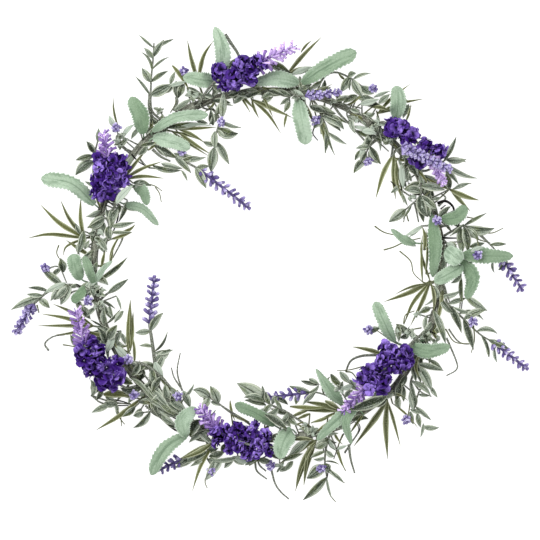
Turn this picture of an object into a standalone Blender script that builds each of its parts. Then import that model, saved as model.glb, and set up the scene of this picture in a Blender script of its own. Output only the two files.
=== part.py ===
# A decorative wreath, lying face up: a wire ring wrapped in floral tape, with flower heads,
# lavender stems, lamb's-ear leaves, leafy sprigs and grass tufts fixed all the way round it.
#
# The plants are laid out on a board 540 mm square that lies under the wreath. A place on it
# is (u, v, z) in millimetres: u from the board's left edge, v from its far edge, z above it.
# Every piece starts at a foot (u, v, side): the spot on the ring nearest to (u, v), at the
# angle side round the ring's own section, with 0 facing outwards, 90 up and 180 inwards.

import math

import bmesh
import bpy
import numpy as np

MM = 0.001

# Ring, in millimetres
BOARD_CENTRE = (268.0, 265.0)
RING_RADIUS = 175.5
RING_SECTION = 4.0
RING_SIDES = 8
RING_STEPS = 80

# Fits, in millimetres
GAP = 0.35
TAPE_THICKNESS = 1.0
TAPE_WIDTH = 13.0
RING_HEIGHT = TAPE_THICKNESS + GAP + RING_SECTION

# Plant parts, in millimetres
HEAD_STEM = 1.4
HEAD_SIDES = 9
SPIKE_STEM = 1.2
SPIKE_WHORL_PITCH = 8.5
SPRIG_STEM = 1.0
PETIOLE = 1.0
LEAF_THICKNESS = 1.7
LEAFLET_THICKNESS = 1.5
BLADE_THICKNESS = 1.3
TUFT_STEM = 1.9
LEAFLET_LIFT = 3.0
THINNEST_LEAFLET = 3.5

# Flower heads: foot on the ring, then the middle of the flowers' start, centre and end,
# the lilac tip's end, and the cluster's radius
HEADS = {
    "violet_head_1": dict(foot=(189, 109), via=(206, 92, 17), start=(214, 83, 30),
                          middle=(237, 73, 35), end=(261, 64, 35), tip=(297, 46, 29), radius=18.5),
    "violet_head_2": dict(foot=(366, 120), via=(382, 122, 17), start=(387, 124, 26),
                          middle=(411, 139, 30), end=(436, 157, 30), tip=(447, 183, 24), radius=17.0),
    "violet_head_3": dict(foot=(436, 318), via=(417, 338, 17), start=(409, 345, 29),
                          middle=(386, 366, 35), end=(363, 389, 35), tip=(341, 413, 29), radius=18.5),
    "violet_head_4": dict(foot=(306, 437), via=(284, 448, 14), start=(272, 447, 27),
                          middle=(243, 442, 35), end=(213, 427, 35), tip=(198, 406, 29), radius=18.5),
    "violet_head_5": dict(foot=(148, 393), via=(127, 388, 17), start=(120, 384, 29),
                          middle=(98, 364, 35), end=(84, 343, 34), tip=(75, 308, 28), radius=19.0),
    "violet_head_6": dict(foot=(95, 226), via=(113, 209, 17), start=(116, 201, 28),
                          middle=(112, 177, 34), end=(108, 156, 34), tip=(104, 132, 28), radius=18.0),
}

# Lamb's-ear leaves: foot, the blade's base, middle and tip, and its width
LEAVES = {
    "lambs_ear_leaf_01": dict(foot=(146, 140, 50), base=(143, 133, 15), middle=(139, 116, 22),
                              tip=(132, 98, 21), width=20),
    "lambs_ear_leaf_02": dict(foot=(151, 134, 95), base=(153, 131, 18), middle=(177, 117, 31),
                              tip=(208, 114, 25), width=13),
    "lambs_ear_leaf_03": dict(foot=(146, 140, 140), base=(153, 138, 12), middle=(171, 141, 19),
                              tip=(190, 147, 16), width=18),
    "lambs_ear_leaf_04": dict(foot=(103, 209, 20), base=(94, 205, 12), middle=(72, 184, 25),
                              tip=(42, 177, 15), width=17),
    "lambs_ear_leaf_05": dict(foot=(226, 95, 25), base=(224, 68, 14), middle=(223, 47, 23),
                              tip=(213, 27, 23), width=16),
    "lambs_ear_leaf_06": dict(foot=(207, 101, 22), base=(212, 84, 13), middle=(200, 80, 22),
                              tip=(185, 79, 20), width=19),
    "lambs_ear_leaf_07": dict(foot=(299, 93, 70), base=(296, 84, 15), middle=(281, 80, 22),
                              tip=(263, 75, 17), width=19),
    "lambs_ear_leaf_08": dict(foot=(306, 94, 40), base=(303, 83, 16), middle=(328, 68, 28),
                              tip=(357, 53, 26), width=17),
    "lambs_ear_leaf_09": dict(foot=(299, 93, 135), base=(298, 99, 12), middle=(302, 121, 20),
                              tip=(306, 144, 12), width=17),
    "lambs_ear_leaf_10": dict(foot=(387, 137, 40), base=(396, 119, 13), middle=(397, 102, 22),
                              tip=(395, 86, 23), width=17),
    "lambs_ear_leaf_11": dict(foot=(431, 200, 112), base=(430, 217, 18), middle=(433, 246, 25),
                              tip=(433, 276, 17), width=16),
    "lambs_ear_leaf_12": dict(foot=(443, 262, 40), base=(462, 261, 16), middle=(472, 278, 20),
                              tip=(473, 298, 13), width=17),
    "lambs_ear_leaf_13": dict(foot=(443, 256, 30), base=(464, 254, 20), middle=(487, 254, 26),
                              tip=(512, 254, 20), width=17),
    "lambs_ear_leaf_14": dict(foot=(420, 351, 140), base=(397, 340, 14), middle=(391, 318, 24),
                              tip=(376, 302, 18), width=15),
    "lambs_ear_leaf_15": dict(foot=(427, 337, 50), base=(421, 346, 17), middle=(434, 351, 25),
                              tip=(449, 346, 20), width=17),
    "lambs_ear_leaf_16": dict(foot=(291, 439, 150), base=(279, 430, 19), middle=(258, 413, 34),
                              tip=(236, 404, 26), width=14),
    "lambs_ear_leaf_17": dict(foot=(297, 438, 155), base=(296, 433, 20), middle=(284, 441, 33),
                              tip=(271, 441, 44), width=22),
    "lambs_ear_leaf_18": dict(foot=(190, 422, 50), base=(188, 433, 15), middle=(166, 448, 24),
                              tip=(151, 475, 17), width=16),
    "lambs_ear_leaf_19": dict(foot=(184, 419, 90), base=(184, 434, 26), middle=(186, 421, 32),
                              tip=(197, 407, 27), width=16),
    "lambs_ear_leaf_20": dict(foot=(372, 406, 50), base=(366, 404, 18), middle=(346, 417, 27),
                              tip=(317, 440, 22), width=15),
}

# Lavender stems: foot, the leafy stem's points, the flower spike's end and radius, and the
# leaflets, each with its place on the stem, its tip and its width
LAVENDER = {
    "lavender_stem_1": dict(
        foot=(140, 147, 150), stem=[(150, 144, 9), (166, 152, 12), (184, 161, 13), (199, 169, 13)],
        spike_end=(249, 208, 12), spike_radius=5.5,
        leaflets=[(155, 147, 166, 157, 5), (174, 156, 191, 173, 6), (182, 160, 200, 157, 5),
                  (196, 168, 209, 166, 5), (195, 168, 206, 188, 8)]),
    "lavender_stem_2": dict(
        foot=(166, 408, 140), stem=[(158, 388, 9), (156, 366, 9), (154, 344, 9), (152, 324, 9)],
        spike_end=(155, 275, 10), spike_radius=6.0,
        leaflets=[(156, 352, 167, 332, 7), (153, 334, 134, 334, 5), (154, 347, 139, 346, 4),
                  (156, 366, 134, 367, 7), (157, 374, 167, 352, 6)]),
    "lavender_stem_3": dict(
        foot=(95, 292, 15), stem=[(84, 287, 8), (66, 283, 9), (46, 291, 9), (34, 304, 8)],
        spike_end=(16, 335, 8), spike_radius=7.0,
        leaflets=[(44, 293, 9, 304, 6), (47, 290, 27, 288, 4), (70, 284, 60, 305, 7),
                  (58, 286, 50, 301, 6), (66, 283, 41, 267, 7), (40, 298, 48, 308, 7)]),
    "lavender_stem_4": dict(
        foot=(443, 236, 30), stem=[(453, 231, 10), (466, 226, 12), (487, 238, 13), (505, 256, 11)],
        spike_end=(526, 292, 9), spike_radius=6.0,
        leaflets=[(466, 226, 495, 228, 9), (469, 227, 479, 239, 6), (460, 228, 450, 217, 7),
                  (492, 243, 507, 244, 4)]),
    "lavender_stem_5": dict(
        foot=(441, 290, 25), stem=[(448, 303, 8), (462, 317, 10), (480, 335, 10), (492, 343, 9)],
        spike_end=(528, 370, 8), spike_radius=6.0,
        leaflets=[(449, 304, 467, 298, 6), (449, 304, 462, 333, 8), (459, 314, 484, 320, 5),
                  (465, 321, 475, 344, 6), (475, 330, 496, 334, 4), (488, 341, 510, 349, 6),
                  (481, 336, 489, 357, 4)]),
    "lavender_stem_6": dict(
        foot=(353, 419, 140), stem=[(342, 406, 10), (329, 397, 11), (318, 392, 12), (309, 391, 12)],
        spike_end=(265, 396, 12), spike_radius=6.0,
        leaflets=[(311, 391, 289, 386, 6), (324, 394, 330, 377, 5), (316, 392, 303, 405, 6)]),
    "lavender_stem_7": dict(
        foot=(284, 91, 95), stem=[(290, 92, 14), (296, 96, 26), (301, 97, 33), (305, 97, 34)],
        spike_end=(340, 93, 32), spike_radius=7.0, leaflets=[]),
    "lavender_stem_8": dict(
        foot=(223, 434, 20), stem=[(211, 445, 7), (200, 453, 8), (190, 458, 8), (182, 460, 8)],
        spike_end=(158, 471, 8), spike_radius=6.0, leaflets=[(192, 457, 176, 467, 6)]),
    "lavender_stem_9": dict(
        foot=(395, 143, 110), stem=[(392, 153, 20), (391, 157, 34), (395, 155, 45), (401, 153, 48)],
        spike_end=(448, 180, 43), spike_radius=6.5, leaflets=[]),
}

# Leafy sprigs: foot, the stem's points, and the leaflets as above
SPRIGS = {
    "leafy_sprig_01": dict(
        foot=(165, 122, 55), stem=[(158, 117, 12), (151, 108, 15), (151, 82, 18), (153, 60, 19), (154, 43, 20)],
        leaflets=[(153, 59, 144, 48, 6), (154, 57, 164, 40, 7), (152, 82, 142, 68, 7),
                  (152, 84, 166, 73, 7), (151, 98, 173, 88, 9)]),
    "leafy_sprig_02": dict(
        foot=(107, 196, 15), stem=[(99, 190, 8), (93, 174, 9), (94, 154, 10), (97, 141, 10), (98, 130, 10)],
        leaflets=[(94, 153, 86, 141, 6), (94, 156, 75, 160, 6), (93, 163, 74, 176, 7)]),
    "leafy_sprig_03": dict(
        foot=(206, 102, 160), stem=[(213, 109, 8), (219, 119, 9), (216, 134, 9), (214, 148, 8)],
        leaflets=[(219, 120, 241, 127, 7), (217, 128, 234, 136, 6), (214, 147, 211, 171, 9),
                  (214, 146, 228, 165, 6), (215, 144, 203, 141, 5), (216, 114, 223, 103, 6)]),
    "leafy_sprig_04": dict(
        foot=(314, 96, 150), stem=[(317, 105, 8), (322, 116, 10), (327, 128, 10), (329, 136, 10)],
        leaflets=[(317, 105, 336, 113, 9), (322, 116, 344, 129, 9), (321, 115, 314, 128, 9),
                  (327, 129, 345, 143, 5), (326, 127, 323, 147, 5)]),
    "leafy_sprig_05": dict(
        foot=(325, 99, 30), stem=[(328, 86, 9), (337, 74, 11), (351, 78, 14), (362, 86, 14), (373, 93, 14)],
        leaflets=[(346, 77, 338, 91, 8), (352, 80, 363, 97, 8), (353, 79, 371, 73, 4)]),
    "leafy_sprig_06": dict(
        foot=(417, 172, 20), stem=[(428, 170, 8), (440, 163, 9), (449, 158, 9)],
        leaflets=[(443, 161, 456, 137, 6), (447, 159, 467, 154, 6), (444, 161, 478, 178, 7),
                  (440, 163, 459, 184, 6)]),
    "leafy_sprig_07": dict(
        foot=(421, 179, 100), stem=[(421, 186, 16), (420, 196, 17), (411, 205, 14), (405, 210, 12)],
        leaflets=[(421, 186, 445, 190, 8), (420, 195, 428, 216, 8), (408, 208, 389, 221, 8),
                  (420, 192, 405, 190, 7)]),
    "leafy_sprig_08": dict(
        foot=(417, 358, 55), stem=[(417, 366, 12), (413, 376, 12), (411, 386, 11), (411, 396, 10)],
        leaflets=[(417, 367, 439, 398, 9), (417, 364, 444, 371, 6), (412, 382, 431, 396, 6),
                  (411, 392, 414, 410, 7)]),
    "leafy_sprig_09": dict(
        foot=(330, 430, 35), stem=[(329, 438, 8), (326, 450, 9), (325, 463, 9), (327, 478, 8)],
        leaflets=[(328, 441, 316, 449, 7), (328, 441, 336, 451, 5), (325, 461, 308, 479, 10),
                  (326, 464, 344, 483, 5), (327, 477, 304, 499, 9)]),
    "leafy_sprig_10": dict(
        foot=(125, 367, 165), stem=[(135, 360, 14), (146, 364, 18), (160, 374, 19), (172, 388, 18)],
        leaflets=[(140, 361, 131, 376, 7), (150, 366, 142, 384, 7), (162, 377, 152, 392, 7),
                  (146, 364, 145, 347, 7), (160, 374, 170, 361, 6), (171, 387, 182, 402, 8)]),
}

# Grass tufts: foot, the point where the blades start, and each blade as its middle, its tip
# and its width
TUFTS = {
    "grass_tuft_1": dict(foot=(95, 238, 10), hub=(83, 237, 7),
                         blades=[((60, 222, 10), (39, 203, 9), 6), ((70, 217, 13), (60, 200, 13), 5),
                                 ((82, 218, 9), (81, 197, 8), 5), ((52, 234, 12), (24, 241, 4), 5),
                                 ((66, 246, 10), (62, 256, 5), 4)]),
    "grass_tuft_2": dict(foot=(103, 326, 10), hub=(91, 326, 7),
                         blades=[((72, 312, 9), (53, 302, 9), 5), ((66, 319, 12), (44, 314, 11), 5),
                                 ((62, 327, 7), (35, 327, 5), 5), ((72, 333, 10), (55, 335, 9), 5)]),
    "grass_tuft_3": dict(foot=(250, 91, 160), hub=(252, 100, 8),
                         blades=[((266, 115, 10), (281, 134, 9), 5), ((274, 105, 11), (292, 116, 10), 6),
                                 ((254, 108, 9), (259, 118, 9), 4)]),
    "grass_tuft_4": dict(foot=(378, 129, 20), hub=(377, 110, 8),
                         blades=[((392, 98, 9), (411, 83, 8), 5), ((400, 103, 8), (425, 98, 7), 5),
                                 ((396, 108, 7), (414, 105, 6), 4)]),
    "grass_tuft_5": dict(foot=(442, 283, 165), hub=(429, 281, 8),
                         blades=[((410, 289, 11), (383, 301, 10), 6), ((413, 303, 9), (404, 326, 8), 6),
                                 ((422, 303, 8), (411, 326, 7), 6), ((422, 254, 9), (423, 235, 8), 4)]),
    "grass_tuft_6": dict(foot=(341, 426, 165), hub=(332, 417, 8),
                         blades=[((314, 406, 5), (290, 408, 5), 6), ((318, 412, 9), (296, 417, 8), 5),
                                 ((324, 419, 7), (313, 424, 6), 4)]),
    "grass_tuft_7": dict(foot=(319, 433, 40), hub=(316, 442, 9),
                         blades=[((306, 460, 9), (295, 493, 7), 6), ((304, 448, 11), (278, 466, 8), 9),
                                 ((308, 467, 6), (304, 487, 5), 4)]),
    "grass_tuft_8": dict(foot=(384, 396, 40), hub=(388, 401, 10),
                         blades=[((377, 416, 10), (354, 447, 8), 6), ((387, 425, 9), (388, 460, 7), 6),
                                 ((396, 418, 8), (401, 447, 7), 4)]),
}


def empty_scene():
    for obj in list(bpy.data.objects):
        bpy.data.objects.remove(obj, do_unlink=True)


def new_collection(name):
    collection = bpy.data.collections.new(name)
    bpy.context.scene.collection.children.link(collection)
    return collection


def new_material(name, colour, roughness, metallic=0.0):
    material = bpy.data.materials.new(name)
    material.use_nodes = True
    shader = material.node_tree.nodes["Principled BSDF"]
    shader.inputs["Base Color"].default_value = (*colour, 1.0)
    shader.inputs["Roughness"].default_value = roughness
    shader.inputs["Metallic"].default_value = metallic
    return material


def new_object(name, mesh, material, collection):
    obj = bpy.data.objects.new(name, mesh)
    mesh.materials.clear()
    mesh.materials.append(material)
    collection.objects.link(obj)
    return obj


# Places on the board and on the ring


def in_metres(points):
    """Board places (u, v, z) as world points, in metres."""
    points = np.atleast_2d(np.asarray(points, float))
    across = points[:, 0] - BOARD_CENTRE[0]
    along = BOARD_CENTRE[1] - points[:, 1]
    return np.column_stack([across, along, points[:, 2]]) * MM


def ring_angle(u, v):
    """Where the spoke from the ring's centre through (u, v) lies, in radians."""
    return math.atan2(BOARD_CENTRE[1] - v, u - BOARD_CENTRE[0])


def beside_ring(angle, side, away):
    """The point away millimetres off the ring's surface, at the angle side of its section."""
    reach = RING_SECTION + away
    out = RING_RADIUS + reach * math.cos(math.radians(side))
    up = RING_HEIGHT + reach * math.sin(math.radians(side))
    return np.array([out * math.cos(angle), out * math.sin(angle), up]) * MM


def seat(foot, radius, toward):
    """Where a stem of this radius starts, clear of the ring by the usual gap.

    One that leaves the ring squarely starts at the gap, and one that runs along the ring
    starts its own radius further off.
    """
    u, v, side = foot
    surface = beside_ring(ring_angle(u, v), side, 0)
    normal = beside_ring(ring_angle(u, v), side, 1) - surface
    heading = np.asarray(toward) - surface
    squareness = heading @ normal / np.linalg.norm(heading) / np.linalg.norm(normal)
    return surface + normal * (GAP + radius * math.sqrt(max(0.0, 1 - squareness**2)))


def smooth_path(points, count):
    """A Catmull-Rom curve through the points, at count places evenly spaced along it."""
    points = np.asarray(points, float)
    ends = (2 * points[0] - points[1], 2 * points[-1] - points[-2])
    held = np.vstack([ends[0], points, ends[1]])
    steps = np.linspace(0, 1, 12, endpoint=False)[:, None]
    pieces = []
    for p0, p1, p2, p3 in zip(held[:-3], held[1:-2], held[2:-1], held[3:]):
        pieces.append(0.5 * (2 * p1 + (p2 - p0) * steps + (2 * p0 - 5 * p1 + 4 * p2 - p3) * steps**2
                             + (3 * p1 - p0 - 3 * p2 + p3) * steps**3))
    curve = np.vstack([*pieces, points[-1:]])
    return along_path(curve, np.linspace(0, 1, count))


def along_path(curve, shares):
    """The points at these shares of the curve's length."""
    length = np.concatenate([[0], np.cumsum(np.linalg.norm(np.diff(curve, axis=0), axis=1))])
    places = np.asarray(shares) * length[-1]
    return np.column_stack([np.interp(places, length, curve[:, axis]) for axis in range(3)])


def nearest_on(path, place):
    """The point of the path that lies nearest to the board place, seen from above."""
    target = in_metres((*place, 0))[0, :2]
    dense = along_path(path, np.linspace(0, 1, 200))
    return dense[np.argmin(np.linalg.norm(dense[:, :2] - target, axis=1))]


# Shapes


def loft(name, centres, half_widths, half_depths, sides):
    """A UV sphere reshaped to run along the centres, flat across and half_depths thick."""
    centres = np.asarray(centres, float)
    rows = len(centres) - 1
    heading = np.gradient(centres, axis=0)
    heading /= np.linalg.norm(heading, axis=1)[:, None]
    up = np.array([0.0, 0.0, 1.0]) - heading * heading[:, 2:]
    up /= np.linalg.norm(up, axis=1)[:, None]
    across = np.cross(up, heading)
    ball = bmesh.new()
    bmesh.ops.create_uvsphere(ball, u_segments=sides, v_segments=rows, radius=1.0)
    for vertex in ball.verts:
        latitude = math.acos(max(-1.0, min(1.0, -vertex.co.z)))
        row = round(latitude / math.pi * rows)
        turn = math.atan2(vertex.co.y, vertex.co.x)
        edge = 0.0 if row in (0, rows) else 1.0
        vertex.co = (centres[row] + edge * (across[row] * half_widths[row] * math.cos(turn)
                                            + up[row] * half_depths[row] * math.sin(turn)))
    mesh = bpy.data.meshes.new(name)
    ball.to_mesh(mesh)
    ball.free()
    return mesh


def tube(name, path, radii):
    """A round tube along the path, as a welded closed mesh."""
    curve = bpy.data.curves.new(name, "CURVE")
    curve.dimensions = "3D"
    curve.bevel_depth = MM
    curve.bevel_resolution = 1
    curve.use_fill_caps = True
    spline = curve.splines.new("POLY")
    spline.points.add(len(path) - 1)
    spline.points.foreach_set("co", np.column_stack([path, np.ones(len(path))]).ravel())
    spline.points.foreach_set("radius", np.broadcast_to(radii, len(path)).astype(np.float32))
    holder = bpy.data.objects.new(name, curve)
    bpy.context.scene.collection.objects.link(holder)
    evaluated = holder.evaluated_get(bpy.context.evaluated_depsgraph_get())
    mesh = bpy.data.meshes.new_from_object(evaluated)
    bpy.data.objects.remove(holder, do_unlink=True)
    bpy.data.curves.remove(curve)
    welded = bmesh.new()
    welded.from_mesh(mesh)
    bmesh.ops.remove_doubles(welded, verts=welded.verts, dist=0.01 * MM)
    bmesh.ops.recalc_face_normals(welded, faces=welded.faces)
    welded.to_mesh(mesh)
    welded.free()
    return mesh


def blade(name, points, width, thickness, rows):
    """A grass blade: widest a third of the way up, then tapering to its tip."""
    centres = smooth_path(points, rows + 1)
    along = np.linspace(0, 1, rows + 1)
    outline = np.sin(math.pi * along**0.6) ** 0.8 + 0.25 * (1 - along)
    return loft(name, centres, outline * width / 2 * MM, np.full(rows + 1, thickness / 2 * MM), 4)


def leaflet(name, start, tip, width, lift):
    """A small pointed leaf from a stem to its tip, arched a little."""
    start, tip = np.asarray(start), np.asarray(tip)
    middle = (start + tip) / 2 + np.array([0, 0, lift * MM])
    centres = smooth_path([start, middle, tip], 6)
    along = np.linspace(0, 1, 6)
    outline = np.sin(math.pi * along**0.85)
    outline[1] = max(outline[1], 0.5)
    return loft(name, centres, outline * width / 2 * MM, np.full(6, LEAFLET_THICKNESS / 2 * MM), 4)


def joined(name, meshes):
    """One mesh that holds all of these."""
    whole = bmesh.new()
    for mesh in meshes:
        whole.from_mesh(mesh)
        bpy.data.meshes.remove(mesh)
    mesh = bpy.data.meshes.new(name)
    whole.to_mesh(mesh)
    whole.free()
    return mesh


def unite(obj, mesh, helpers):
    """Joins the mesh's bodies onto the object."""
    helper = bpy.data.objects.new(obj.name + "_greens", mesh)
    helper.hide_render = True
    helper.display_type = "WIRE"
    helpers.objects.link(helper)
    join = obj.modifiers.new("greens", "BOOLEAN")
    join.operation = "UNION"
    join.solver = "EXACT"
    join.use_self = True
    join.object = helper


# Pieces


def make_ring(material, parts):
    """The ring's section, turned about Z. One side of the section lies flat underneath."""
    section = bpy.data.meshes.new("wire_ring")
    turns = (np.arange(RING_SIDES) + 0.5) * 2 * math.pi / RING_SIDES + math.pi / 2
    corner = RING_SECTION * MM
    points = [(RING_RADIUS * MM + corner * math.cos(turn), 0, RING_HEIGHT * MM + corner * math.sin(turn))
              for turn in turns]
    edges = [(i, (i + 1) % RING_SIDES) for i in range(RING_SIDES)]
    section.from_pydata(points, edges, [])
    ring = new_object("wire_ring", section, material, parts)
    turned = ring.modifiers.new("turn", "SCREW")
    turned.axis = "Z"
    turned.steps = RING_STEPS
    turned.render_steps = RING_STEPS
    turned.use_merge_vertices = True
    turned.merge_threshold = 0.0001
    turned.use_normal_calculate = True
    return ring


def ring_path(foot, reach):
    """Four points on top of the ring, clockwise past the foot, where a head's stem lies."""
    middle = ring_angle(*foot)
    spread = reach / RING_RADIUS
    turns = (spread, 0.0, -0.65 * spread, -spread)
    return [beside_ring(middle + turn, 90, GAP + HEAD_STEM) for turn in turns]


def tape_outline(inner):
    """Half the band's outline, from under the ring to above the stem, offset by inner."""
    stem_height = RING_SECTION + GAP + HEAD_STEM
    low, high = RING_SECTION + inner, HEAD_STEM + inner
    lean = math.asin((low - high) / stem_height)
    corners = [(0.0, -low), (low * math.tan(math.pi / 8), -low)]
    for turn in np.linspace(-math.pi / 8, lean, 4):
        corners.append((low * math.cos(turn), low * math.sin(turn)))
    for turn in np.linspace(lean, math.pi / 2, 4):
        corners.append((high * math.cos(turn), stem_height + high * math.sin(turn)))
    return corners


def make_tape(material, parts):
    """Bands of floral tape round the ring and the six flower heads' stems."""
    outline = bpy.data.curves.new("tape_band", "CURVE")
    outline.dimensions = "2D"
    outline.fill_mode = "BOTH"
    outline.extrude = TAPE_WIDTH / 2 * MM
    for inner in (GAP + TAPE_THICKNESS, GAP):
        half = tape_outline(inner)
        loop = half + [(-x, y) for x, y in reversed(half[1:-1])]
        spline = outline.splines.new("POLY")
        spline.points.add(len(loop) - 1)
        spline.points.foreach_set("co", np.array([(x * MM, y * MM, 0, 1) for x, y in loop]).ravel())
        spline.use_cyclic_u = True
    holder = bpy.data.objects.new("tape_band", outline)
    parts.objects.link(holder)
    band = bpy.data.meshes.new_from_object(holder.evaluated_get(bpy.context.evaluated_depsgraph_get()))
    bpy.data.objects.remove(holder, do_unlink=True)
    welded = bmesh.new()
    welded.from_mesh(band)
    bmesh.ops.remove_doubles(welded, verts=welded.verts, dist=0.01 * MM)
    bmesh.ops.recalc_face_normals(welded, faces=welded.faces)
    welded.to_mesh(band)
    welded.free()
    for number, head in enumerate(HEADS.values(), 1):
        angle = ring_angle(*head["foot"])
        obj = new_object(f"tape_binding_{number}", band, material, parts)
        obj.location = (RING_RADIUS * MM * math.cos(angle), RING_RADIUS * MM * math.sin(angle),
                        RING_HEIGHT * MM)
        obj.rotation_euler = (math.pi / 2, 0, angle)


def make_head(name, head, material, parts):
    """A stem bound to the ring, a fat cluster of flowers, and a thin tip past it."""
    stem = [*ring_path(head["foot"], TAPE_WIDTH / 2 + 4), in_metres(head["via"])[0]]
    cluster = [in_metres(head[key])[0] for key in ("start", "middle", "end")]
    tip = in_metres(head["tip"])[0]
    lower = smooth_path([*stem, cluster[0]], 10)
    middle = smooth_path(cluster, 7)[1:]
    upper = smooth_path([cluster[-1], (cluster[-1] + tip) / 2 + np.array([0, 0, 2 * MM]), tip], 5)[1:]
    centres = np.vstack([lower, middle, upper])
    along = np.linspace(0, 1, len(middle))
    bulge = head["radius"] * (0.62 + 0.38 * np.sin(math.pi * (0.12 + 0.8 * along)))
    bulge *= 1 + 0.05 * np.cos(9 * along)
    fade = np.array([7.5, 6.5, 5.0, 0.0])
    radii = np.concatenate([np.full(len(lower) - 1, HEAD_STEM), [head["radius"] * 0.45], bulge, fade])
    radii[len(lower) + len(middle) - 1] *= 0.62
    return new_object(name, loft(name, centres, radii * MM, radii * 0.92 * MM, HEAD_SIDES), material, parts)


def make_leaf(name, leaf, material, parts):
    """A stalk from the ring, then a broad blade with a blunt tip."""
    blade_points = [in_metres(leaf[key])[0] for key in ("base", "middle", "tip")]
    points = [seat(leaf["foot"], PETIOLE / 2, blade_points[0]), *blade_points]
    dense = smooth_path(points, 121)
    base = np.argmin(np.linalg.norm(dense - points[1], axis=1)) / 120
    blade_shares = np.array([0.0, 0.14, 0.32, 0.5, 0.68, 0.84, 0.95, 1.0])
    shares = np.concatenate([[0, base * 0.12, base * 0.55], base + (1 - base) * blade_shares])
    outline = np.array([0, PETIOLE, PETIOLE, 1.2 * PETIOLE, *(
        leaf["width"] / 2 * np.array([0.56, 0.87, 1.0, 0.98, 0.8, 0.42])), 0])
    depth = np.array([0, PETIOLE, PETIOLE, PETIOLE, *np.full(6, LEAF_THICKNESS / 2), 0])
    mesh = loft(name, along_path(dense, shares), outline * MM, depth * MM, 6)
    return new_object(name, mesh, material, parts)


def leaflets_of(name, path, plan):
    """The leaflets along a stem, each starting inside it."""
    meshes = []
    for number, (at_u, at_v, tip_u, tip_v, width) in enumerate(plan["leaflets"]):
        start = nearest_on(path, (at_u, at_v))
        rise = LEAFLET_LIFT if number % 2 else LEAFLET_LIFT / 3
        tip = in_metres((tip_u, tip_v, 0))[0] + np.array([0, 0, start[2] + rise * MM])
        if width >= THINNEST_LEAFLET:
            meshes.append(leaflet(name, start, tip, width, LEAFLET_LIFT))
    return joined(name + "_leaflets", meshes)


def make_lavender(name, plan, material, parts, helpers):
    """A stem that swells into a row of whorls, with leaflets below them."""
    points = in_metres(plan["stem"])
    stem = smooth_path([seat(plan["foot"], SPIKE_STEM, points[0]), *points], 8)
    top, end = stem[-1], in_metres(plan["spike_end"])[0]
    whorls = max(3, round(np.linalg.norm(end - top) / MM / SPIKE_WHORL_PITCH))
    shares = np.linspace(0, 1, 2 * whorls + 2)[1:]
    sizes = np.where(np.arange(len(shares)) % 2 == 0, 1.0, 0.5) * plan["spike_radius"]
    sizes = sizes * (1 - 0.4 * shares)
    path = np.vstack([stem, top + np.outer(shares, end - top)])
    sizes[-1] = 0.8
    radii = np.concatenate([np.full(len(stem), SPIKE_STEM), sizes])
    obj = new_object(name, tube(name, path, radii), material, parts)
    if plan["leaflets"]:
        unite(obj, leaflets_of(name, stem, plan), helpers)


def make_sprig(name, plan, material, parts, helpers):
    points = in_metres(plan["stem"])
    path = smooth_path([seat(plan["foot"], SPRIG_STEM, points[0]), *points], 10)
    obj = new_object(name, tube(name, path, SPRIG_STEM), material, parts)
    unite(obj, leaflets_of(name, path, plan), helpers)


def make_tuft(name, plan, material, parts, helpers):
    """A short stem from the ring, with the grass blades spreading from its end."""
    hub = in_metres(plan["hub"])[0]
    start = seat(plan["foot"], TUFT_STEM, hub)
    obj = new_object(name, tube(name, smooth_path([start, hub], 3), TUFT_STEM), material, parts)
    root = hub + (start - hub) * 0.2
    blades = [blade(name, [root, in_metres(middle)[0], in_metres(tip)[0]], width, BLADE_THICKNESS, 5)
              for middle, tip, width in plan["blades"]]
    unite(obj, joined(name + "_blades", blades), helpers)


def main():
    empty_scene()
    parts = new_collection("decorative_wreath")
    helpers = new_collection("helpers")
    tape = new_material("floral_tape", (0.12, 0.13, 0.10), 0.85)
    violet = new_material("violet_petals", (0.10, 0.04, 0.30), 0.7)
    lavender = new_material("lavender_buds", (0.25, 0.18, 0.52), 0.65)
    sage = new_material("sage_leaf", (0.40, 0.58, 0.42), 0.85)
    green = new_material("grey_green_leaf", (0.22, 0.30, 0.20), 0.8)
    grass = new_material("olive_grass", (0.20, 0.22, 0.08), 0.7)
    make_ring(tape, parts)
    make_tape(tape, parts)
    for name, plan in HEADS.items():
        make_head(name, plan, violet, parts)
    for name, plan in LEAVES.items():
        make_leaf(name, plan, sage, parts)
    for name, plan in LAVENDER.items():
        make_lavender(name, plan, lavender, parts, helpers)
    for name, plan in SPRIGS.items():
        make_sprig(name, plan, green, parts, helpers)
    for name, plan in TUFTS.items():
        make_tuft(name, plan, grass, parts, helpers)


main()
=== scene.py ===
import math

import bpy
import numpy as np
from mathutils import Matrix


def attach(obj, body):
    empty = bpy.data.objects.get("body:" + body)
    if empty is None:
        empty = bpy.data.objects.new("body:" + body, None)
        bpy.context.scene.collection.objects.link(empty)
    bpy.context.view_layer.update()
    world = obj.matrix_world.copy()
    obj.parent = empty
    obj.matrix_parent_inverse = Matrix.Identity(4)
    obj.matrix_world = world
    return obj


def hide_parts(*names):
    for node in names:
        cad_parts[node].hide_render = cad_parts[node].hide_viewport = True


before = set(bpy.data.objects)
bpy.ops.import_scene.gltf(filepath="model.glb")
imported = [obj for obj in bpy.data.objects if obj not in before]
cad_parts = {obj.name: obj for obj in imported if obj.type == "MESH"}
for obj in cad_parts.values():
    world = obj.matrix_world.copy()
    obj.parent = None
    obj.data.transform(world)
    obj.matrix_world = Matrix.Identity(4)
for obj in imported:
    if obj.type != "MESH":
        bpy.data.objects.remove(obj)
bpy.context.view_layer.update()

chance = np.random.default_rng(7)
mm = 0.001
up = np.array([0.0, 0.0, 1.0])

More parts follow.
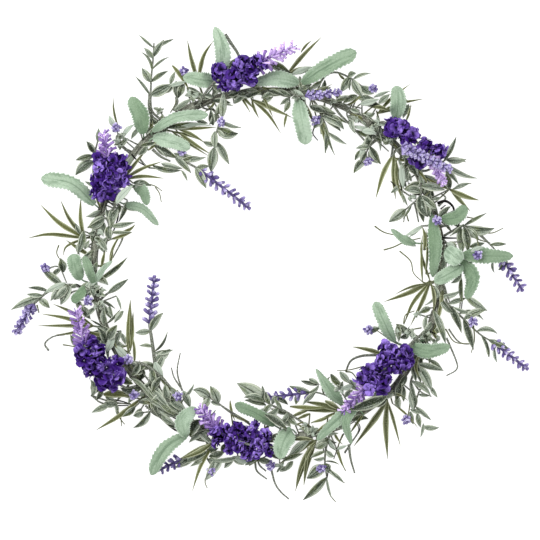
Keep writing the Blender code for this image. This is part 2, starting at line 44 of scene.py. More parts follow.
# Places are (u, v, z) on a board 540 mm square under the wreath, in millimetres:
# u from its left edge, v from its far edge, z above it. A foot is (u, v, side), the spot on
# the ring nearest to (u, v), with side 0 outwards, 90 on top and 180 inwards.
board = {"centre": (268.0, 265.0)}
goldenTurn = 2.39996  # radians between neighbours that never line up, as a sunflower's seeds
anyTurn = 6.28  # radians, the most that a turn drawn by chance can be
ring = {"radius": 175.5, "section": 4.0, "height": 5.35, "gap": 0.35}


def metres(points):  # board places as world points
    points = np.atleast_2d(np.asarray(points, float))
    return np.column_stack([points[:, 0] - board["centre"][0], board["centre"][1] - points[:, 1],
                            points[:, 2]]) * mm


def ringAngle(u, v):  # the angle of the ring's spot nearest to a board place
    return math.atan2(board["centre"][1] - v, u - board["centre"][0])


def ringPoint(u, v, side, away):
    # centre + (radius + reach cos side) along the spoke, and reach sin side up
    angle = ringAngle(u, v)
    reach = ring["section"] + away
    out = ring["radius"] + reach * math.cos(math.radians(side))
    return np.array([out * math.cos(angle), out * math.sin(angle),
                     ring["height"] + reach * math.sin(math.radians(side))]) * mm


def atAngles(angle, out, high):  # the points (out cos angle, out sin angle, high)
    return np.column_stack([out * np.cos(angle), out * np.sin(angle), np.full(len(angle), high)])


def evenTurns(count):  # angles at even steps round a full turn
    return np.arange(count) * 2 * math.pi / count


def spread(curve, shares):  # the points at these shares of a polyline's length
    length = np.concatenate([[0], np.cumsum(np.linalg.norm(np.diff(curve, axis=0), axis=1))])
    at = np.asarray(shares) * length[-1]
    return np.column_stack([np.interp(at, length, curve[:, k]) for k in range(3)])


def smoothPath(points, count):  # a Catmull-Rom curve through the points, at even steps
    points = np.asarray(points, float)
    held = np.vstack([2 * points[0] - points[1], points, 2 * points[-1] - points[-2]])
    t = np.linspace(0, 1, 16, endpoint=False)[:, None]
    a, b, c, d = held[:-3], held[1:-2], held[2:-1], held[3:]
    runs = [0.5 * (2 * b[k] + (c[k] - a[k]) * t + (2 * a[k] - 5 * b[k] + 4 * c[k] - d[k]) * t**2
                   + (3 * b[k] - a[k] - 3 * c[k] + d[k]) * t**3) for k in range(len(a))]
    return spread(np.vstack([*runs, points[-1:]]), np.linspace(0, 1, count))


def arcs(starts, tips, lifts, bends, count):
    # start + (tip - start) t, plus 4 t (1 - t) of the lift upwards and of the bend sideways
    starts, tips = np.asarray(starts, float), np.asarray(tips, float)
    t = np.linspace(0, 1, count)[None, :, None]
    span = tips - starts
    side = np.cross(up, span)
    side /= np.linalg.norm(side, axis=1)[:, None] + 1e-9
    bow = np.asarray(lifts)[:, None] * up + np.asarray(bends)[:, None] * side
    return starts[:, None] + span[:, None] * t + 4 * t * (1 - t) * bow[:, None]


def unit(vectors):  # each vector over its own length
    return vectors / (np.linalg.norm(vectors, axis=-1, keepdims=True) + 1e-12)


def shells(paths, widths, depths, sides, rolls=0.0, folds=0.0, ups=up, ruffle=0.0, waves=2.0):
    # An oval section carried along each path: path + across w cos a + normal (d sin a
    # + w fold |cos a|^1.5 + ruffle w sin(2 pi waves t + phase) cos a), turned by roll about the
    # path; w may differ from side to side
    paths = np.asarray(paths, float)
    count, rows = paths.shape[:2]
    heading = unit(np.gradient(paths, axis=1))
    ups = np.broadcast_to(np.asarray(ups, float), (count, 3))[:, None]
    across = unit(np.cross(ups, heading))
    normal = np.cross(heading, across)
    rolls = np.asarray(rolls, float)
    turn = np.broadcast_to(rolls if rolls.ndim == 2 else rolls.reshape(-1, 1), (count, rows))[..., None]
    across, normal = (across * np.cos(turn) + normal * np.sin(turn),
                      normal * np.cos(turn) - across * np.sin(turn))
    a = evenTurns(sides)
    w = np.asarray(widths, float)
    w = np.broadcast_to(w if w.ndim == 3 else w[..., None], (count, rows, sides))
    d = np.broadcast_to(depths, (count, rows))[..., None]
    fold = np.broadcast_to(np.asarray(folds, float).reshape(-1, 1), (count, rows))[..., None]
    t = np.linspace(0, 1, rows)[None, :, None]
    phase = chance.uniform(0, anyTurn, (count, 1, 1))
    rise = (d * np.sin(a) + w * fold * np.abs(np.cos(a)) ** 1.5
            + ruffle * w * np.sin(2 * math.pi * waves * t + phase) * np.cos(a))
    return (paths[:, :, None] + across[:, :, None] * (w * np.cos(a))[..., None]
            + normal[:, :, None] * rise[..., None])


def turned(bases, directions, lengths, radii, profile, sides):
    # A profile (radius, height) turned about each direction, scaled by its radius and length
    profile = np.asarray(profile, float)
    directions = unit(np.asarray(directions, float))
    first = unit(np.cross(directions, up + 0.01 * np.roll(up, 1)))
    second = np.cross(directions, first)
    a = evenTurns(sides)
    circle = first[:, None] * np.cos(a)[:, None] + second[:, None] * np.sin(a)[:, None]
    rings = np.asarray(radii, float)[:, None, None, None] * profile[None, :, None, :1] * circle[:, None]
    heights = np.asarray(lengths, float)[:, None] * profile[None, :, 1]
    rises = heights[..., None] * directions[:, None]
    return np.asarray(bases)[:, None, None] + rings + rises[:, :, None]


def marksOf(rings, tones, along=None):
    # For the materials: (share along, share across from -1 to 1, tone) of every point
    count, rows, sides = rings.shape[:3]
    marks = np.empty((count, rows, sides, 3))
    marks[..., 0] = np.linspace(0, 1, rows)[:, None] if along is None else along
    marks[..., 1] = np.cos(evenTurns(sides))
    marks[..., 2] = np.asarray(tones, float).reshape(-1, 1, 1)
    return marks


def gridFaces(count, rows, sides, start, closed):
    # Quads between neighbouring rows and sides; a run that isn't closed gets a cap at each end
    index = start + np.arange(count * rows * sides).reshape(count, rows, sides)
    here, there = (index, np.roll(index, -1, axis=1)) if closed else (index[:, :-1], index[:, 1:])
    quads = np.stack([here, np.roll(here, -1, axis=2), np.roll(there, -1, axis=2), there], axis=-1)
    caps = np.empty((0, sides), int) if closed else np.vstack([index[:, 0, ::-1], index[:, -1]])
    return quads.reshape(-1, 4), caps


def addPiece(name, parts, finish, replaces=()):
    # parts: (rings, marks), and True as a third where a run meets itself; finish: material, unused slot
    material, slot = finish
    mesh = bpy.data.meshes.new(name)
    points, marks, corners, starts, total, first = [], [], [], [], 0, 0
    for rings, partMarks, *closed in parts:
        count, rows, sides = rings.shape[:3]
        quads, caps = gridFaces(count, rows, sides, total, bool(closed))
        for faces in (quads, caps):
            corners.append(faces.ravel())
            starts.append(first + np.arange(len(faces)) * faces.shape[1])
            first += faces.size
        points.append(rings.reshape(-1, 3))
        marks.append(partMarks.reshape(-1, 3))
        total += count * rows * sides
    mesh.vertices.add(total)
    mesh.vertices.foreach_set("co", np.vstack(points).astype(np.float32).ravel())
    mesh.loops.add(first)
    mesh.loops.foreach_set("vertex_index", np.concatenate(corners).astype(np.int32))
    starts = np.concatenate(starts).astype(np.int32)
    mesh.polygons.add(len(starts))
    mesh.polygons.foreach_set("loop_start", starts)
    mesh.polygons.foreach_set("use_smooth", np.ones(len(starts), bool))
    mesh.update(calc_edges=True)
    marked = mesh.attributes.new("marks", "FLOAT_VECTOR", "POINT")
    marked.data.foreach_set("vector", np.vstack(marks).astype(np.float32).ravel())
    mesh.materials.append(material)
    piece = bpy.data.objects.new(name, mesh)
    bpy.context.scene.collection.objects.link(piece)
    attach(piece, "root")
    if replaces:
        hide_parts(*replaces)


# Materials. A piece's marks make its leaves differ: the tone shifts the streaks, says which half
# is painted paler, as painted light and shade on a folded leaf, and how strong the midrib is.


grain = {"along": 1.6, "across": 3.2, "apart": 37.0, "shadedHalves": 911.0, "ribs": 517.0}


class Value:  # a shader number that takes + - * with numbers and other values on either side, and abs()
    def __init__(self, paint, socket):
        self.paint, self.socket = paint, socket

    def join(self, operation, first, second):
        return self.paint.node("ShaderNodeMath", {"operation": operation}, {0: first, 1: second})

    def __add__(self, other):
        return self.join("ADD", self, other)

    __radd__ = __add__

    def __sub__(self, other):
        return self.join("SUBTRACT", self, other)

    def __rsub__(self, other):
        return self.join("SUBTRACT", other, self)

    def __mul__(self, other):
        return self.join("MULTIPLY", self, other)

    __rmul__ = __mul__

    def __abs__(self):
        return self.join("ABSOLUTE", self, 0.0)


class Paint:  # the node tree of one material; start, layer and cover build up its colour
    def __init__(self, name, colours):
        self.colours = colours
        self.material = bpy.data.materials.new(name)
        self.material.use_nodes = True
        self.tree = self.material.node_tree
        self.shader = self.tree.nodes["Principled BSDF"]
        self.place = self.node("ShaderNodeTexCoord", {}, {}, "Object")

    def node(self, kind, settings, sockets, output=0):
        made = self.tree.nodes.new(kind)
        for key, value in settings.items():
            setattr(made, key, value)
        for key, value in sockets.items():
            if isinstance(value, Value):
                self.tree.links.new(value.socket, made.inputs[key])
            elif made.inputs[key].type == "RGBA":
                made.inputs[key].default_value = (*value, 1.0)
            else:
                made.inputs[key].default_value = value
        return Value(self, made.outputs[output])

    def marks(self):  # share along, share across and tone, as addPiece stores them
        vector = self.node("ShaderNodeAttribute", {"attribute_name": "marks"}, {}, "Vector")
        return [self.node("ShaderNodeSeparateXYZ", {}, {0: vector}, k) for k in range(3)]

    def step(self, value, low, high):  # 0 at low, 1 at high, smooth between; low may be the larger
        if low > high:
            return 1 - self.step(value, high, low)
        return self.node("ShaderNodeMapRange", {"interpolation_type": "SMOOTHSTEP"},
                         {"Value": value, "From Min": low, "From Max": high})

    def mix(self, factor, first, second):
        return self.node("ShaderNodeMix", {"data_type": "RGBA"}, {0: factor, 6: first, 7: second}, 2)

    def start(self, factor, first, second):  # the lowest layer, from one named colour to another
        self.colour = self.mix(factor, self.colours[first], self.colours[second])

    def cover(self, name, factor):  # a named colour over the rest
        self.colour = self.mix(factor, self.colour, self.colours[name])

    def layer(self, name, value, low, high, amount=1.0):  # a colour that comes in from low to high
        self.cover(name, self.step(value, low, high) * amount)

    def noise(self, scale, detail=2.0, roughness=0.5):
        return self.node("ShaderNodeTexNoise", {}, {"Vector": self.place, "Scale": scale,
                                                    "Detail": detail, "Roughness": roughness})

    def streaks(self, along, across, tone):  # noise drawn out along a leaf, new for each tone
        place = self.node("ShaderNodeCombineXYZ", {}, {
            0: along * grain["along"], 1: across * grain["across"], 2: tone * grain["apart"]})
        return self.node("ShaderNodeTexNoise", {}, {"Vector": place, "Scale": 1.0, "Detail": 3.0,
                                                    "Roughness": 0.6})

    def wave(self, value):
        return self.node("ShaderNodeMath", {"operation": "SINE"}, {0: value})

    def shadedHalves(self, across, tone):  # the half of a leaf painted paler, as painted light, and how much
        return self.wave(tone * grain["shadedHalves"]) * across

    def finish(self, roughness, height=None, depth=0.0, strength=0.0, **fixed):
        self.tree.links.new(self.colour.socket, self.shader.inputs["Base Color"])
        if height is not None:
            bump = self.node("ShaderNodeBump", {}, {"Height": height, "Distance": depth,
                                                    "Strength": strength})
            self.tree.links.new(bump.socket, self.shader.inputs["Normal"])
        plain = {"Roughness": roughness, "Specular IOR Level": 0.12}  # cloth and paper: little gloss
        for key, value in {**plain, **fixed}.items():
            self.shader.inputs[key].default_value = value
        return self.material


# deep is also the painted shade at the leaf's base, pale the painted light on one half and the tip
sageLook = {"deep": (0.070, 0.128, 0.070), "body": (0.156, 0.236, 0.138), "pale": (0.378, 0.482, 0.366),
            "rib": (0.090, 0.150, 0.090), "fray": (0.500, 0.590, 0.490)}


def sageFlock():  # lamb's-ear cloth: fine flock, a soft midrib with veins, pale frayed edges
    paint = Paint("sage_flock", sageLook)
    along, across, tone = paint.marks()
    flock = paint.noise(1900, 3)
    cloud = paint.streaks(along * 2.0, across, tone)
    # painted light: paler towards the tip and on one half of the fold
    paint.start(tone + along * 0.3 + paint.shadedHalves(across, tone) * 0.18 - 0.15, "body", "pale")
    paint.layer("deep", cloud, 0.46, 0.66, 0.5)
    # painted shade: darker in a V towards the leaf's base
    paint.layer("deep", along + abs(across) * 0.3, 0.5, 0.05, 0.35)
    paint.layer("fray", flock, 0.53, 0.70, 0.4)
    paint.layer("deep", flock, 0.47, 0.32, 0.35)
    paint.layer("deep", tone, -0.1, -1.0, 0.7)
    rib = paint.step(abs(across), 0.15, 0.02) * paint.step(along, 0.98, 0.55)
    rib = rib * (paint.wave(tone * grain["ribs"]) * 0.4 + 0.6)
    vein = paint.wave(along * 95.0 - abs(across) * 8.0)
    paint.layer("deep", vein, 0.2, 1.0, 0.10)
    paint.cover("rib", rib * 0.5)
    paint.layer("fray", abs(across), 0.82, 0.99, 0.65)
    height = flock - rib * 0.9 + vein * 0.12
    return paint.finish(0.95, height, 0.0004, 0.7, **{"Sheen Weight": 0.1})


# dark is also the painted shade of the midrib's crease, grey partly the painted light on one half
greensLook = {"dark": (0.013, 0.020, 0.009), "grey": (0.118, 0.158, 0.104),
              "yellow": (0.105, 0.135, 0.038), "dust": (0.480, 0.520, 0.450),
              "stem": (0.062, 0.066, 0.046), "pale": (0.400, 0.480, 0.400),
              "wire": (0.008, 0.008, 0.007), "rim": (0.600, 0.640, 0.510)}


def dustyGreens():
    # Small leaves: grey green, one half painted paler and the midrib painted dark, as painted light and
    # shade on the fold, pale rims; at tone 2 paler, at tone -1 a dusty stem, at tone -2 a bare black wire
    paint = Paint("dusty_greens", greensLook)
    along, across, tone = paint.marks()
    dust = paint.noise(1300, 3, 0.6)
    patch = paint.noise(70)
    streak = paint.streaks(along, across, tone)
    # painted light and shade: one half of each leaf paler, as on a lit fold; it also tips the dust
    side = paint.shadedHalves(across, tone)
    shade = tone * 0.55 + streak * 0.7 + side * 0.25 - 0.22
    paint.start(paint.step(shade, 0.05, 0.75), "dark", "grey")
    paint.layer("yellow", patch, 0.50, 0.62, 0.45)
    paint.layer("dust", streak * 0.6 + dust * 0.5 + side * 0.12 + tone * 0.12, 0.55, 0.80, 0.72)
    # painted shade: the dark midrib, where the crease lies in shade
    paint.layer("dark", abs(across), 0.16, 0.03, 0.9)
    paint.layer("rim", abs(across), 0.62, 0.93, 0.72)
    paint.layer("dust", dust, 0.52, 0.64, 0.25)
    paint.layer("pale", tone, 1.2, 1.8, 0.5)
    leaf = paint.colour
    paint.start(paint.step(dust, 0.46, 0.62) * 0.7, "stem", "dust")
    paint.layer("wire", tone, -1.4, -1.9)
    paint.colour = paint.mix(paint.step(tone, -0.1, -0.9), leaf, paint.colour)
    return paint.finish(0.85, dust + streak * 1.2, 0.0004, 0.6)


# light is also the painted light on one half of each blade
grassLook = {"dark": (0.030, 0.034, 0.010), "olive": (0.085, 0.095, 0.022),
             "grey": (0.110, 0.135, 0.075), "light": (0.500, 0.530, 0.340)}


def oliveGrass():  # grass: dark olive along the middle, pale yellow green rims, streaked
    paint = Paint("olive_grass", grassLook)
    along, across, tone = paint.marks()
    streak = paint.streaks(along, across, tone)
    dust = paint.noise(1300, 3, 0.6)
    paint.start(paint.step(tone * 0.6 + streak, 0.45, 1.2), "dark", "olive")
    paint.layer("grey", streak, 0.50, 0.68, 0.7)
    # painted light: one half of each blade lighter, as light falls on the crease
    paint.layer("light", paint.shadedHalves(across, tone), -0.2, 0.7, 0.28)
    paint.layer("light", abs(across), 0.50, 0.85, 0.72)
    paint.layer("light", dust, 0.53, 0.66, 0.3)
    return paint.finish(0.7, paint.wave(across * 14.0) * 0.3 + dust, 0.0003, 0.5)


# deep is also the painted shade at each floret's heart, light partly a painted highlight on the rims
violetLook = {"deep": (0.005, 0.001, 0.020), "body": (0.050, 0.014, 0.190),
              "light": (0.300, 0.190, 0.640), "speck": (0.500, 0.460, 0.600)}


def violetPetals():  # cloth petals: near black at the heart, lighter on their rims, mottled
    paint = Paint("violet_petals", violetLook)
    along, across, tone = paint.marks()
    fine = paint.noise(300, 3)
    patch = paint.noise(85)
    # painted shade: near black at each floret's heart
    paint.start(paint.step(along, 0.10, 0.65), "deep", "body")
    # painted highlight, with tone and mottle: lighter towards the petals' tips and rims
    paint.layer("light", along * 0.5 + tone * 0.9 + patch + abs(across) * 0.2, 1.05, 2.05)
    paint.layer("deep", fine, 0.50, 0.70, 0.5)
    paint.layer("speck", tone, 1.5, 1.9)
    return paint.finish(0.6, fine, 0.0005, 0.5)


# deep is also the painted shade inside each bell's mouth
lilacLook = {"deep": (0.105, 0.055, 0.215), "body": (0.245, 0.150, 0.410),
             "pale": (0.700, 0.525, 0.890)}


def lilacBells():  # thin pinkish bells, pale where the light comes through, dark at the mouth
    paint = Paint("lilac_bells", lilacLook)
    along, _, tone = paint.marks()
    paint.start(tone, "body", "pale")
    # painted shade: dark inside each bell's mouth
    paint.layer("deep", along, 0.66, 0.86)
    paint.layer("deep", along, 0.25, 0.0, 0.6)
    return paint.finish(0.5, paint.noise(900), 0.0002, 0.3)


# rim is a painted highlight; deep is also the painted shade at each bud's base and in its mouth
budLook = {"deep": (0.018, 0.010, 0.065), "body": (0.104, 0.076, 0.232),
           "pale": (0.360, 0.300, 0.580), "rim": (0.700, 0.660, 0.860)}


def lavenderBuds():  # open-ended buds: violet blue, with a pale rim round a dark mouth
    paint = Paint("lavender_buds", budLook)
    along, _, tone = paint.marks()
    fine = paint.noise(1200)
    paint.start(tone, "body", "pale")
    # painted shade: darker towards each bud's base, where it meets the stem
    paint.layer("deep", along, 0.45, 0.0, 0.8)
    paint.layer("rim", fine, 0.58, 0.75, 0.35)
    # painted highlight: a pale rim round the lip, the stronger the paler the bud
    paint.cover("rim", paint.step(along, 0.45, 0.66) * (tone * 0.8 + 0.05))
    # painted shade: dark inside the mouth
    paint.layer("deep", along, 0.78, 0.95)
    return paint.finish(0.7, fine, 0.0003, 0.4)


paperLook = {"dark": (0.085, 0.085, 0.065), "body": (0.200, 0.210, 0.165),
             "dust": (0.460, 0.480, 0.420)}


def floralTape():  # stretched paper tape round the ring's stems: crinkled, dusted
    paint = Paint("floral_tape", paperLook)
    crinkle = paint.noise(800, 4, 0.65)
    paint.start(paint.step(paint.noise(70), 0.42, 0.60), "dark", "body")
    paint.layer("dust", crinkle, 0.50, 0.64, 0.65)
    return paint.finish(0.9, crinkle, 0.0006, 0.8)


sage, greens = (sageFlock(), "sage_leaf"), (dustyGreens(), "grey_green_leaf")
grass, violet = (oliveGrass(), "olive_grass"), (violetPetals(), "violet_petals")
lilac, buds = (lilacBells(), "lavender_buds"), (lavenderBuds(), "lavender_buds")
tape = (floralTape(), "floral_tape")
print("materials made")


# The ring: wired stems laid side by side, with a slow twist


ringStems = {"count": 5, "radius": 1.2, "offset": 2.0, "twists": 7, "wander": 0.18, "swell": 0.12,
             "rows": 900, "sides": 8}
looseStems = {"count": 4, "radius": 0.75, "offset": 3.4, "twists": 13, "wander": 0.25, "swell": 0.2,
              "low": 1.2, "sides": 6}


def ringRun(out, high, thick, sides):
    # A closed tube whose middle is at (out, high) from the ring's axis at every turn
    a = evenTurns(ringStems["rows"])
    path = np.stack([out * np.cos(a), out * np.sin(a), high], axis=-1)[None] * mm
    heading = unit(np.roll(path, -1, axis=1) - np.roll(path, 1, axis=1))
    across = unit(np.cross(up, heading))
    normal = np.cross(heading, across)
    turn = evenTurns(sides)[:, None]
    circle = across[:, :, None] * np.cos(turn) + normal[:, :, None] * np.sin(turn)
    rings = path[:, :, None] + thick[None, :, None, None] * mm * circle
    return rings, marksOf(rings, 0.5), True


def makeRing():
    # Stem k runs at R + offset cos(twists a + phase), height h + offset sin(...), its radius
    # swelling and thinning a little; the loose stems wander further out
    a = evenTurns(ringStems["rows"])
    parts = []
    for k in range(ringStems["count"]):
        phase = ringStems["twists"] * a + k * 2 * math.pi / ringStems["count"]
        wander = ringStems["offset"] * (1 + ringStems["wander"] * np.sin(7 * a + 2 * k))
        swell = 1 + ringStems["swell"] * np.sin(31 * a + k) + ringStems["swell"] / 2 * np.sin(83 * a)
        parts.append(ringRun(ring["radius"] + wander * np.cos(phase), ring["height"] + wander * np.sin(phase),
                             ringStems["radius"] * swell, ringStems["sides"]))
    for k in range(looseStems["count"]):
        phase = math.floor((k - 2) * looseStems["twists"] / 3) * a + 1.3 * k + 0.8 * np.sin(3 * a + k)
        wander = 1 + looseStems["wander"] * np.sin(5 * a + 1.7 * k) + 0.15 * np.sin(11 * a + k)
        wander = looseStems["offset"] * wander
        high = np.maximum(ring["height"] + wander * np.sin(phase), looseStems["low"])
        swell = 1 + looseStems["swell"] * np.sin(37 * a + k)
        parts.append(ringRun(ring["radius"] + wander * np.cos(phase), high, looseStems["radius"] * swell,
                             looseStems["sides"]))
    addPiece("wired_ring", parts, tape, ["wire_ring"])


makeRing()
print("ring made")


# Bands of tape at the flower heads


tapeLook = {"width": 13.0, "turns": 4, "low": 5.1, "high": 2.5, "lift": 5.75, "step": 0.035,
            "ends": 0.72, "bottom": 0.05}


def makeTape(number, foot):
    # The outline round the ring (radius low) and the stem above it (radius high) is carried
    # along the ring, its size rippling once for each turn of the tape
    middle = ringAngle(*foot)
    lean = math.asin((tapeLook["low"] - tapeLook["high"]) / tapeLook["lift"])
    lowTurn = np.linspace(-math.pi / 2, lean, 9)
    highTurn = np.linspace(lean, math.pi / 2, 6)
    half = np.vstack([np.column_stack([np.cos(lowTurn), np.sin(lowTurn)]) * tapeLook["low"],
                      np.column_stack([np.cos(highTurn), np.sin(highTurn)]) * tapeLook["high"]
                      + (0, tapeLook["lift"])])
    outline = np.vstack([half, half[-2:0:-1] * (-1, 1)])
    t = np.linspace(-1, 1, 41)
    ripple = 1 + tapeLook["step"] * ((t * tapeLook["turns"] + 5) % 1) - 0.02
    size = ripple * np.where(np.abs(t) > 0.99, tapeLook["ends"], 1.0)
    angle = middle + t * (tapeLook["width"] / 2 / ring["radius"])
    out = ring["radius"] + outline[None, :, 0] * size[:, None]
    high = np.maximum(ring["height"] + outline[None, :, 1] * size[:, None], tapeLook["bottom"])
    rings = np.stack([out * np.cos(angle)[:, None], out * np.sin(angle)[:, None], high], axis=-1)
    rings = rings[None, ::-1] * mm  # turned round, so that its faces point outwards
    addPiece(f"tape_wrap_{number}", [(rings, marksOf(rings, 0.5))], tape, [f"tape_binding_{number}"])


# Flower heads: the stem's foot and via, then the flowers' start, middle and end, and the end,
# tone and spread of the lilac tip; a head may have its own tone, floret size or share of specks


heads = {
    1: dict(foot=(189, 109), via=(206, 92, 17), start=(214, 83, 30), middle=(237, 73, 35),
            end=(261, 64, 35), tip=(297, 46, 29), tipTone=0.65, tipSpread=1.4),
    2: dict(foot=(366, 120), via=(382, 122, 17), start=(387, 124, 26), middle=(411, 139, 30),
            end=(436, 157, 30), tip=(444, 186, 24), tipTone=0.65, tipSpread=1.0),
    3: dict(foot=(436, 318), via=(417, 338, 17), start=(409, 345, 29), middle=(386, 366, 35),
            end=(363, 389, 35), tip=(341, 413, 29), tipTone=-0.1, tipSpread=1.1),
    4: dict(foot=(306, 437), via=(284, 448, 14), start=(272, 447, 27), middle=(243, 442, 35),
            end=(213, 427, 35), tip=(198, 406, 29), tipTone=-0.2, tipSpread=1.25, size=5.2, specks=0.4),
    5: dict(foot=(148, 393), via=(127, 388, 17), start=(120, 384, 29), middle=(98, 364, 35),
            end=(84, 343, 34), tip=(75, 308, 28), tipTone=-0.2, tipSpread=1.4, size=8.0, specks=0.5,
            tone=0.02),
    6: dict(foot=(95, 226), via=(113, 209, 17), start=(116, 201, 28), middle=(112, 177, 34),
            end=(108, 156, 34), tip=(104, 132, 28), tipTone=-0.1, tipSpread=1.15),
}
floretLook = {"size": 6.6, "petals": 5, "outline": (0.12, 0.36, 0.54, 0.50, 0.24), "tone": 0.32,
              "specks": 0.1, "speck": 0.8, "speckLength": 2.2, "stalk": 1.3, "clear": 1.75,
              "crowding": 0.13, "sunk": 3.2, "above": 3, "below": 9, "bells": 40, "bell": 8.2}
lobes = {  # each head's lumps as (u, v, radius)
    1: [(219, 71, 9), (225, 86, 5), (233, 79, 10), (242, 65, 9), (254, 69, 8), (258, 60, 5), (249, 79, 7),
        (236, 86, 6), (262, 66, 5), (247, 61, 5)],
    2: [(394, 128, 9), (401, 128, 9), (413, 135, 7), (424, 145, 7), (441, 151, 6), (420, 163, 6),
        (408, 140, 7), (434, 150, 6), (414, 158, 6)],
    3: [(386, 347, 7), (393, 353, 8), (406, 352, 6), (408, 363, 6), (373, 378, 7), (377, 371, 7),
        (382, 361, 8), (395, 365, 9), (368, 370, 7), (362, 378, 7), (383, 378, 9), (369, 387, 7),
        (381, 389, 5)],
    4: [(215, 430, 6), (226, 429, 7), (231, 438, 8), (217, 441, 5), (239, 446, 8), (249, 431, 9),
        (255, 424, 5), (266, 433, 7), (259, 444, 9), (246, 455, 7), (257, 453, 5), (269, 451, 5),
        (228, 450, 4), (238, 426, 7)],
    5: [(91, 343, 7), (81, 352, 7), (86, 362, 6), (98, 351, 7), (98, 362, 8), (90, 371, 6), (115, 362, 8),
        (106, 368, 7), (105, 380, 8), (117, 375, 8), (112, 383, 4)],
    6: [(112, 161, 7), (120, 160, 6), (99, 160, 4), (101, 168, 7), (112, 171, 8), (120, 172, 7),
        (125, 166, 3), (98, 179, 7), (111, 182, 8), (126, 181, 5), (95, 193, 6), (103, 195, 5),
        (110, 194, 6)],
}
bellProfile = [(0.25, 0.0), (0.60, 0.15), (0.66, 0.45), (0.80, 0.75), (1.0, 1.0), (0.80, 0.96),
               (0.40, 0.70), (0.04, 0.50)]
studProfile = [(0.3, 0.0), (1.0, 0.4), (0.6, 0.9), (0.05, 1.0)]
knobProfile = [(0.3, 0.0), (0.85, 0.2), (1.0, 0.5), (0.85, 0.8), (0.3, 1.0)]


def roundAxis(axis, turn):  # the direction across each axis that stands at its turn
    first = unit(np.cross(axis, up + 0.01))
    return first * np.cos(turn)[:, None] + np.cross(axis, first) * np.sin(turn)[:, None]


def petals(centres, normals, lengths, tones, count):
    # Each petal runs from its floret's heart outwards by length t and up by a hump in t; count
    # petals stand round each heart at even turns, jittered
    flowers = len(centres)
    turn = (evenTurns(count) + chance.uniform(0, anyTurn, (flowers, 1))
            + chance.normal(0, 0.25, (flowers, count)))
    normal = np.repeat(normals, count, axis=0)
    outward = roundAxis(normal, turn.ravel())
    reach = np.repeat(lengths, count) * chance.uniform(0.70, 1.15, flowers * count)
    cup = chance.uniform(-0.1, 0.85, flowers * count)
    t = np.linspace(0, 1, 5)[None, :, None]
    paths = (np.repeat(centres, count, axis=0)[:, None]
             + outward[:, None] * reach[:, None, None] * (0.06 + 0.94 * t)
             + normal[:, None] * (reach * cup)[:, None, None] * (1.5 * t - 1.1 * t**2))
    widths = reach[:, None] * floretLook["outline"]
    rings = shells(paths, widths, 0.25 * mm, 8, rolls=chance.normal(0, 0.35, len(paths)),
                   folds=chance.uniform(-0.2, 0.4, len(paths)), ups=normal, ruffle=0.15, waves=0.8)
    return rings, marksOf(rings, np.repeat(tones, count) + chance.normal(0, 0.22, len(paths)))


def floretSeats(number, bend):
    # Florets at golden-angle turns over every lump, and over the same lumps drawn in and lower;
    # those that would stand inside another lump are left out
    seats, normals = [], []
    lumps = metres([(u, v, 0) for u, v, _ in lobes[number]])
    radii = np.array([radius for *_, radius in lobes[number]]) * mm
    near = bend[np.argmin(np.linalg.norm(bend[None, :, :2] - lumps[:, None, :2], axis=2), axis=1)]
    off = np.linalg.norm(near[:, :2] - lumps[:, :2], axis=1)
    above, below = floretLook["above"] * mm, floretLook["below"] * mm
    layers = [np.column_stack([lumps[:, :2], near[:, 2] + above - off * 0.45]),
              np.column_stack([lumps[:, :2] * 0.6 + near[:, :2] * 0.4, near[:, 2] - below])]
    middles, reach = np.vstack(layers), np.tile(radii, 2)
    for k, (middle, radius) in enumerate(zip(middles, reach)):
        count = max(4, round(floretLook["crowding"] * (radius / mm) ** 2))
        high = 1 - 2 * (np.arange(count) + 0.5) / count
        turn = np.arange(count) * goldenTurn + k
        out = atAngles(turn, np.sqrt(1 - high**2), high)
        deep = radius - floretLook["sunk"] * mm
        spots = middle + out * deep * chance.uniform(0.75, 1.05, (count, 1))
        others = np.delete(np.arange(len(middles)), k)
        depth = np.linalg.norm(spots[:, None] - middles[others][None], axis=2) / reach[others]
        free = depth.min(axis=1) > 0.50
        seats.append(spots[free])
        normals.append(out[free])
    seats, normals = np.vstack(seats), np.vstack(normals)
    return seats, unit(normals + chance.normal(0, 0.28, normals.shape)), middles, reach


def makeHead(number, head):
    # Ruffled florets stand on the head's lumps; near-black knob shapes fill the lumps behind them, as
    # painted shade in the gaps between florets, and a stem runs from the ring along the head's axis
    look = {**floretLook, **head}
    low = ringPoint(*head["foot"], 90, look["clear"])[2]
    turns = ringAngle(*head["foot"]) + np.array([0.06, 0.0, -0.04, -0.06])
    onRing = atAngles(turns, ring["radius"] * mm, low)
    bend = smoothPath(metres([head["start"], head["middle"], head["end"]]), 40)
    stem = smoothPath([*onRing, *metres([head["via"], head["start"]])], 22)
    centres, normals, middles, reach = floretSeats(number, bend)
    count = len(centres)
    # painted light: florets that face upwards get a higher tone, so paler petals
    tones = np.clip(look["tone"] + normals[:, 2] * 0.2 + chance.normal(0, 0.42, count), 0, 1.1)
    lengths = look["size"] * chance.uniform(0.70, 1.15, count) * mm
    flowers = petals(centres, normals, lengths, tones, look["petals"])
    # painted shade: near-black shapes inside the lumps, seen through the gaps between florets
    shadeKnobs = turned(middles - up * reach[:, None] * 0.65, np.broadcast_to(up, middles.shape),
                   reach * 1.3, reach * 0.5, knobProfile, 10)
    starred = chance.uniform(0, 1, count) < look["specks"]
    studs = turned(centres[starred], normals[starred], np.full(starred.sum(), look["speckLength"] * mm),
                   np.full(starred.sum(), look["speck"] * mm), studProfile, 6)
    stalk = shells(np.vstack([stem, bend[3::6]])[None], look["stalk"] * mm, look["stalk"] * mm, 8)
    parts = [flowers, (shadeKnobs, marksOf(shadeKnobs, 0.0, 0.1)), (studs, marksOf(studs, 2.0))]
    addPiece(f"violet_florets_{number}", parts, violet, [f"violet_head_{number}"])
    addPiece(f"violet_stem_{number}", [(stalk, marksOf(stalk, -1.0))], greens)
    makeTip(number, bend[-6], metres([head["tip"]])[0], look)


